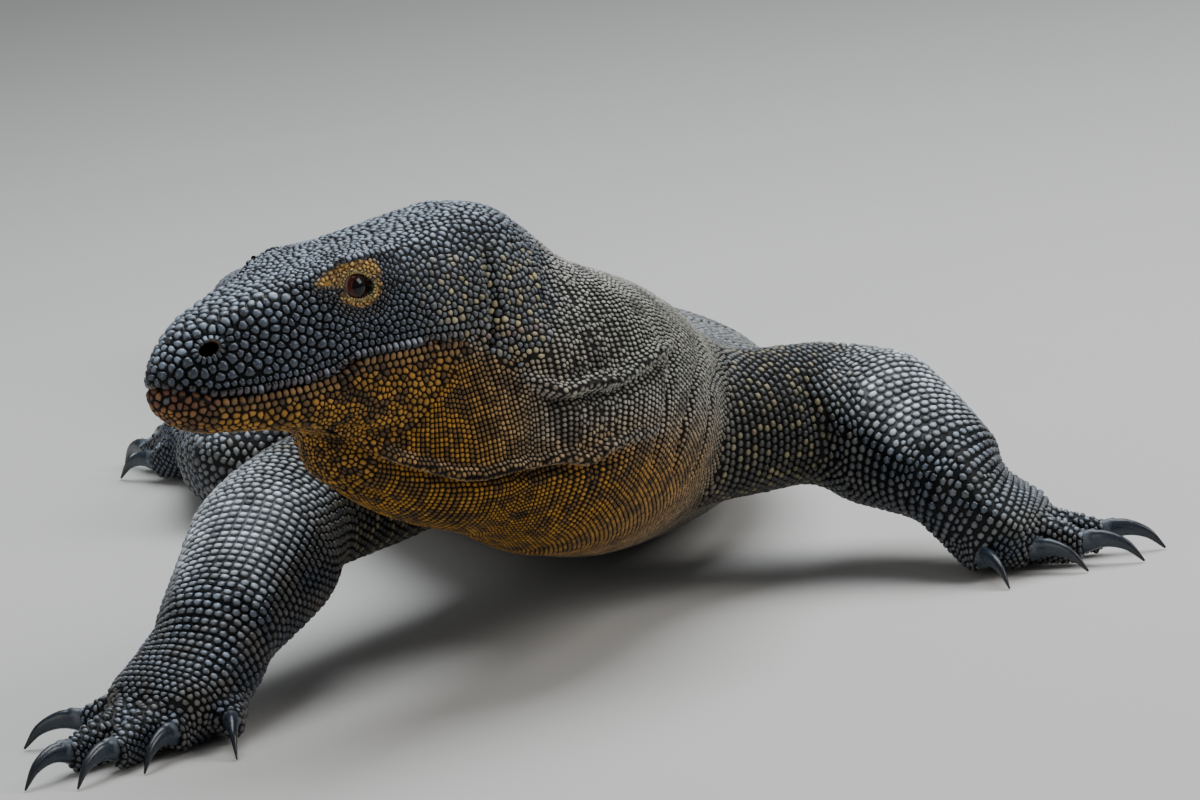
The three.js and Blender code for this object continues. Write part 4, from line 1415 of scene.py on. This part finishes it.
def hide_finish(name, rim, grain_scale, shine):
    """Horny hide: the painted colour, with painted shade at each scale's rim and a painted highlight on its
    crown, fine grain and a soft gloss.
    """
    hide = Finish(name)
    place = hide.node("ShaderNodeNewGeometry", output="Position")
    own, gloss = hide.read("hide", "Color"), hide.read("hide", "Alpha")
    tint, crown = hide.read("tint"), hide.read("crown")
    grain = hide.cloud(place, grain_scale, 4, 0.6)
    # painted light: dark at a scale's rim, bright on its crown
    lit = hide.between(crown, RIM_END, 1.0, rim, TOP) * (0.65 + 0.7 * tint) * (0.75 + 0.5 * grain)
    hide.shade(
        Base_Color=hide.blend(1.0, own, lit, "MULTIPLY"),
        Roughness=0.56 - 0.32 * gloss + 0.16 * (grain - 0.5) + 0.08 * (tint - 0.5),
        Normal=hide.node("ShaderNodeBump", {}, {"Strength": 0.35, "Distance": GRAIN_DEEP, "Height": grain}),
        Specular_IOR_Level=shine,
    )
    return hide.material


glossy_scale = hide_finish("glossy_scale", RIM, 1400, 0.6)
soft_scale = hide_finish("soft_scale", RIM, 1400, 0.22)
skin_finish = hide_finish("skin_between", 1.0, 900, 0.12)
BETWEEN, DUST_AND_LIGHT_BETWEEN = 0.06, 0.25  # how light the skin between the scales is painted, its own dark tone deepened as painted shade, and what dust with painted top light adds
SOFT_BETWEEN, SOFT_RIM = 0.6, 1.3  # the same on the lids and nostrils, and how wide a nostril's rim is
SKIN_TINT, SKIN_CROWN, SKIN_GLOSS = 0.5, 0.8, 0.5
DUST_AND_LIGHT_RIM = 0.42  # how light a scale's rim is at least where dust with painted top light lies
for bare in (skin, *lids.values(), *nostrils.values()):
    spots, _, _, outward = mesh_arrays(bare.data)
    colour, gloss, dust_and_top_light = hide_colour(spots, owner_of(spots), outward)
    is_soft = by_lid_or_nostril(spots, 1, SOFT_RIM)
    # the skin between the scales is darkened: its own dark tone with painted shade in the gaps
    colour *= np.where(is_soft, SOFT_BETWEEN, BETWEEN + DUST_AND_LIGHT_BETWEEN * dust_and_top_light)[:, None]
    even = np.ones(len(spots))
    paint(bare.data, colour, gloss * SKIN_GLOSS, SKIN_TINT * even, SKIN_CROWN * even)
    bare.data.materials.clear()
    bare.data.materials.append(skin_finish)
scale_colour, scale_gloss, scale_dust_and_light = hide_colour(at, owner, out)

# each piece of the coat: its slot, the nodes it covers, and the route it is unrolled round
HEAD_AXIS = [(-45, 0, -10), (30, 0, -8), (100, 0, -8), (166, 0, -16)]
PIECES = {
    "scales_head": ("head_scales", ["head"], on_head(HEAD_AXIS)),
    "scales_jaw": ("jaw_scales", ["lower_jaw"], on_head(HEAD_AXIS)),
    "scales_neck": ("neck_scales", ["neck"], SPINE[:9]),
    "scales_trunk": ("body_scales", ["trunk"], SPINE[5:14]),
    "scales_tail": ("body_scales", ["tail_base", "tail_middle", "tail_tip"], SPINE[11:]),
}
for limb, joints in LIMB_JOINTS.items():
    PIECES[f"scales_{limb}"] = ("limb_scales", limb_nodes(limb), joints)
SOFT_PIECES = ("scales_jaw", "scales_neck")
PATCH = 0.0015  # half the width of a scale's patch on OFBake


def scale_piece(label, picked, place_on_map, corners, dome):
    """One mesh of the picked scales, with the hide's attributes and the map OFBake."""
    one_bead = bead_faces(corners, dome)
    spots = corners * len(dome) + 1
    turn = around(corners, 0.5)
    flat = [(math.cos(a) * spread, math.sin(a) * spread) for spread, *_ in dome for a in turn] + [(0, 0)]
    faces = (one_bead[None] + spots * np.arange(len(picked))[:, None, None]).reshape(-1, 3)
    places, shades = beads(picked, corners, dome)
    shades = np.maximum(shades, DUST_AND_LIGHT_RIM * scale_dust_and_light[picked].repeat(spots))
    made = new_mesh_object(label, places, faces)
    mesh = made.data
    paint(mesh, scale_colour[picked].repeat(spots, axis=0), scale_gloss[picked].repeat(spots),
          tint[picked].repeat(spots), shades)
    spread = place_on_map[:, None] + np.array(flat)[None] * PATCH
    bake = mesh.uv_layers.new(name="OFBake")
    corner = np.empty(len(mesh.loops), np.int32)
    mesh.loops.foreach_get("vertex_index", corner)
    bake.uv.foreach_set("vector", spread.reshape(-1, 2)[corner].astype(np.float32).ravel())
    return made


for name, (slot, nodes, route) in PIECES.items():
    mine = np.flatnonzero(np.isin(owner, [FLESH.index(node) for node in nodes]))
    corners, dome = SHAPES.get(part_of(nodes[0]), (6, LOW_DOME))
    unrolled = cylinder_map(at[mine], route)
    parts = math.ceil(len(mine) * len(bead_faces(corners, dome)) / PIECE_TRIANGLES)
    order = np.argsort(unrolled[:, 1], kind="stable")
    for number, share in enumerate(np.array_split(order, parts)):
        label = name if parts == 1 else f"{name}_{number + 1}"
        made = scale_piece(label, mine[share], unrolled[share], corners, dome)
        made.data.materials.append(soft_scale if name in SOFT_PIECES else glossy_scale)
        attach(made, "root")

# The claws: smooth curved horn, glossy blue-black, one at the end of each digit, growing from
# under a grey cap. Each is drawn through rings along a bent line that thins to its tip.
CLAW_BACK, CLAW_BASE_RISE = 30, 11  # where the horn starts behind its tip, and how high
CLAW_ARCH = [(0, 0, 1.0), (0.35, 5.4, 0.86), (0.72, 5.6, 0.52), (1, 0, 0.1)]  # share, rise, girth
CLAW_WIDE, CLAW_HIGH = 3.9, 5.1
CAP_END, CAP_GROWTH = 0.24, 0.2  # as shares of the horn's length and girth
CLAW_RINGS, CLAW_SIDES = 34, 16
HORN_BLUE, HORN_DARK, CAP_COLOUR = (0.020, 0.030, 0.045), (0.007, 0.008, 0.011), (0.10, 0.125, 0.15)

horn = Finish("claw_horn")
along, cap = horn.read("along"), horn.read("cap")
place = horn.node("ShaderNodeNewGeometry", output="Position")
streak = horn.cloud(place, 420, 3, 0.6)
horn_colour = horn.blend(horn.between(along, 0.25, 1.0), HORN_BLUE, HORN_DARK)
horn_colour = horn.blend(0.7 * cap, horn_colour, CAP_COLOUR)
horn.shade(
    Base_Color=horn.blend(1.0, horn_colour, 0.7 + 0.6 * streak, "MULTIPLY"),
    Roughness=0.2 + 0.16 * streak + 0.12 * cap,
    Normal=horn.node("ShaderNodeBump", {}, {"Strength": 0.25, "Distance": GRAIN_DEEP, "Height": streak}),
)
for node, (base, tip) in claw_ends.items():
    back = unit((base - tip) * [1, 1, 0])
    start = tip + back * CLAW_BACK
    start[2] = CLAW_BASE_RISE
    shares, lifts, girths = np.array(CLAW_ARCH).T
    spots = start + (tip - start) * shares[:, None] + np.outer(lifts, [0, 0, 1])
    line, station, _ = flowing(spots, 0.25)
    picked = np.linspace(0, len(line) - 1, CLAW_RINGS).round().astype(int)
    line, station = line[picked], station[picked]
    way = unit(np.gradient(line, axis=0))
    across = unit(np.cross([0, 0, 1], way))
    above = np.cross(way, across)
    share = np.linspace(0, 1, CLAW_RINGS)
    turn = around(CLAW_SIDES)
    over = smoothstep(np.sin(turn), -0.5, 0.3)
    cap_share = share[:, None] + 0.10 * np.abs(np.cos(turn))
    cap = over * (1 - smoothstep(cap_share, CAP_END - 0.03, CAP_END + 0.01))
    girth = np.interp(station, range(len(girths)), girths)[:, None] * (1 + CAP_GROWTH * cap)
    keel = 1 - 0.16 * np.abs(np.cos(turn)) ** 3
    rings = (line[:, None] + across[:, None] * (girth * CLAW_WIDE * np.cos(turn) * keel)[..., None]
             + above[:, None] * (girth * CLAW_HIGH * np.sin(turn))[..., None])
    rings[..., 2] = np.maximum(rings[..., 2], LOWEST)
    claw = sheet_object(node.replace("_claw_", "_nail_"), rings, line[CLAW_RINGS // 3])
    write_values(claw.data, "along", [*np.repeat(share, CLAW_SIDES), 0, 1])
    write_values(claw.data, "cap", [*cap.ravel(), 0, 0])
    claw.data.materials.append(horn.material)
    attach(claw, "root")
    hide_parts(node)

# The eyes: wet glossy balls with a low cornea, a round black pupil and a dark red-brown iris.
# Each is drawn through rings round the way it looks, and sits in its socket behind the lids.
GAZE = (0.02, 1.0, 0.08)  # ahead, outward and up
PUPIL, IRIS = 0.54, 0.82  # radians from the gaze
CORNEA_RISE = 0.4
BALL_LOW, POLE = 0.25, 0.02  # how far the ball lies inside the solid, and its pole's gap in radians
EYE_RINGS, EYE_SIDES = 48, 56
IRIS_DARK, IRIS_RED, BLACK = (0.020, 0.004, 0.003), (0.085, 0.018, 0.008), (0.002, 0.002, 0.003)
RIM_PINK, RIM_BROWN = (0.34, 0.17, 0.13), (0.10, 0.07, 0.06)  # round the iris, and further back

wet = Finish("eye_wet")
from_gaze = wet.read("from_gaze")
place = wet.node("ShaderNodeNewGeometry", output="Position")
fibres = wet.cloud(place, 900, 3, 0.7)
iris = wet.blend(wet.between(fibres, 0.3, 0.7), IRIS_DARK, IRIS_RED)
rim = wet.blend(wet.between(from_gaze, IRIS + 0.06, IRIS + 0.3), RIM_PINK, RIM_BROWN)
eye_colour = wet.blend(wet.between(from_gaze, IRIS - 0.05, IRIS + 0.05), iris, rim)
eye_colour = wet.blend(wet.between(from_gaze, PUPIL - 0.02, PUPIL + 0.03), BLACK, eye_colour)
wet.shade(Base_Color=eye_colour, Roughness=0.05 + 0.05 * fibres, Specular_IOR_Level=0.28)
for side, sign in SIDES.items():
    gaze = unit(np.array(GAZE) * [1, sign, 1]) @ HEAD_AXES
    first = unit(np.cross(gaze, upward))
    second = np.cross(gaze, first)
    lean = np.linspace(POLE, math.pi - POLE, EYE_RINGS)
    radius = EYE_RADIUS - BALL_LOW + CORNEA_RISE * np.exp(-((lean / 0.6) ** 2))
    turn = around(EYE_SIDES)
    round_it = np.cos(turn)[:, None] * first + np.sin(turn)[:, None] * second
    middle = eye_middle(side) - home
    rings = (middle + (radius * np.cos(lean))[:, None, None] * gaze
             + (radius * np.sin(lean))[:, None, None] * round_it[None])
    eye = sheet_object(f"eyeball_{side}", rings, middle)
    write_values(eye.data, "from_gaze", [*lean.repeat(EYE_SIDES), 0, math.pi])
    eye.data.materials.append(wet.material)
    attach(eye, "root")
    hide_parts(f"eye_{side}")
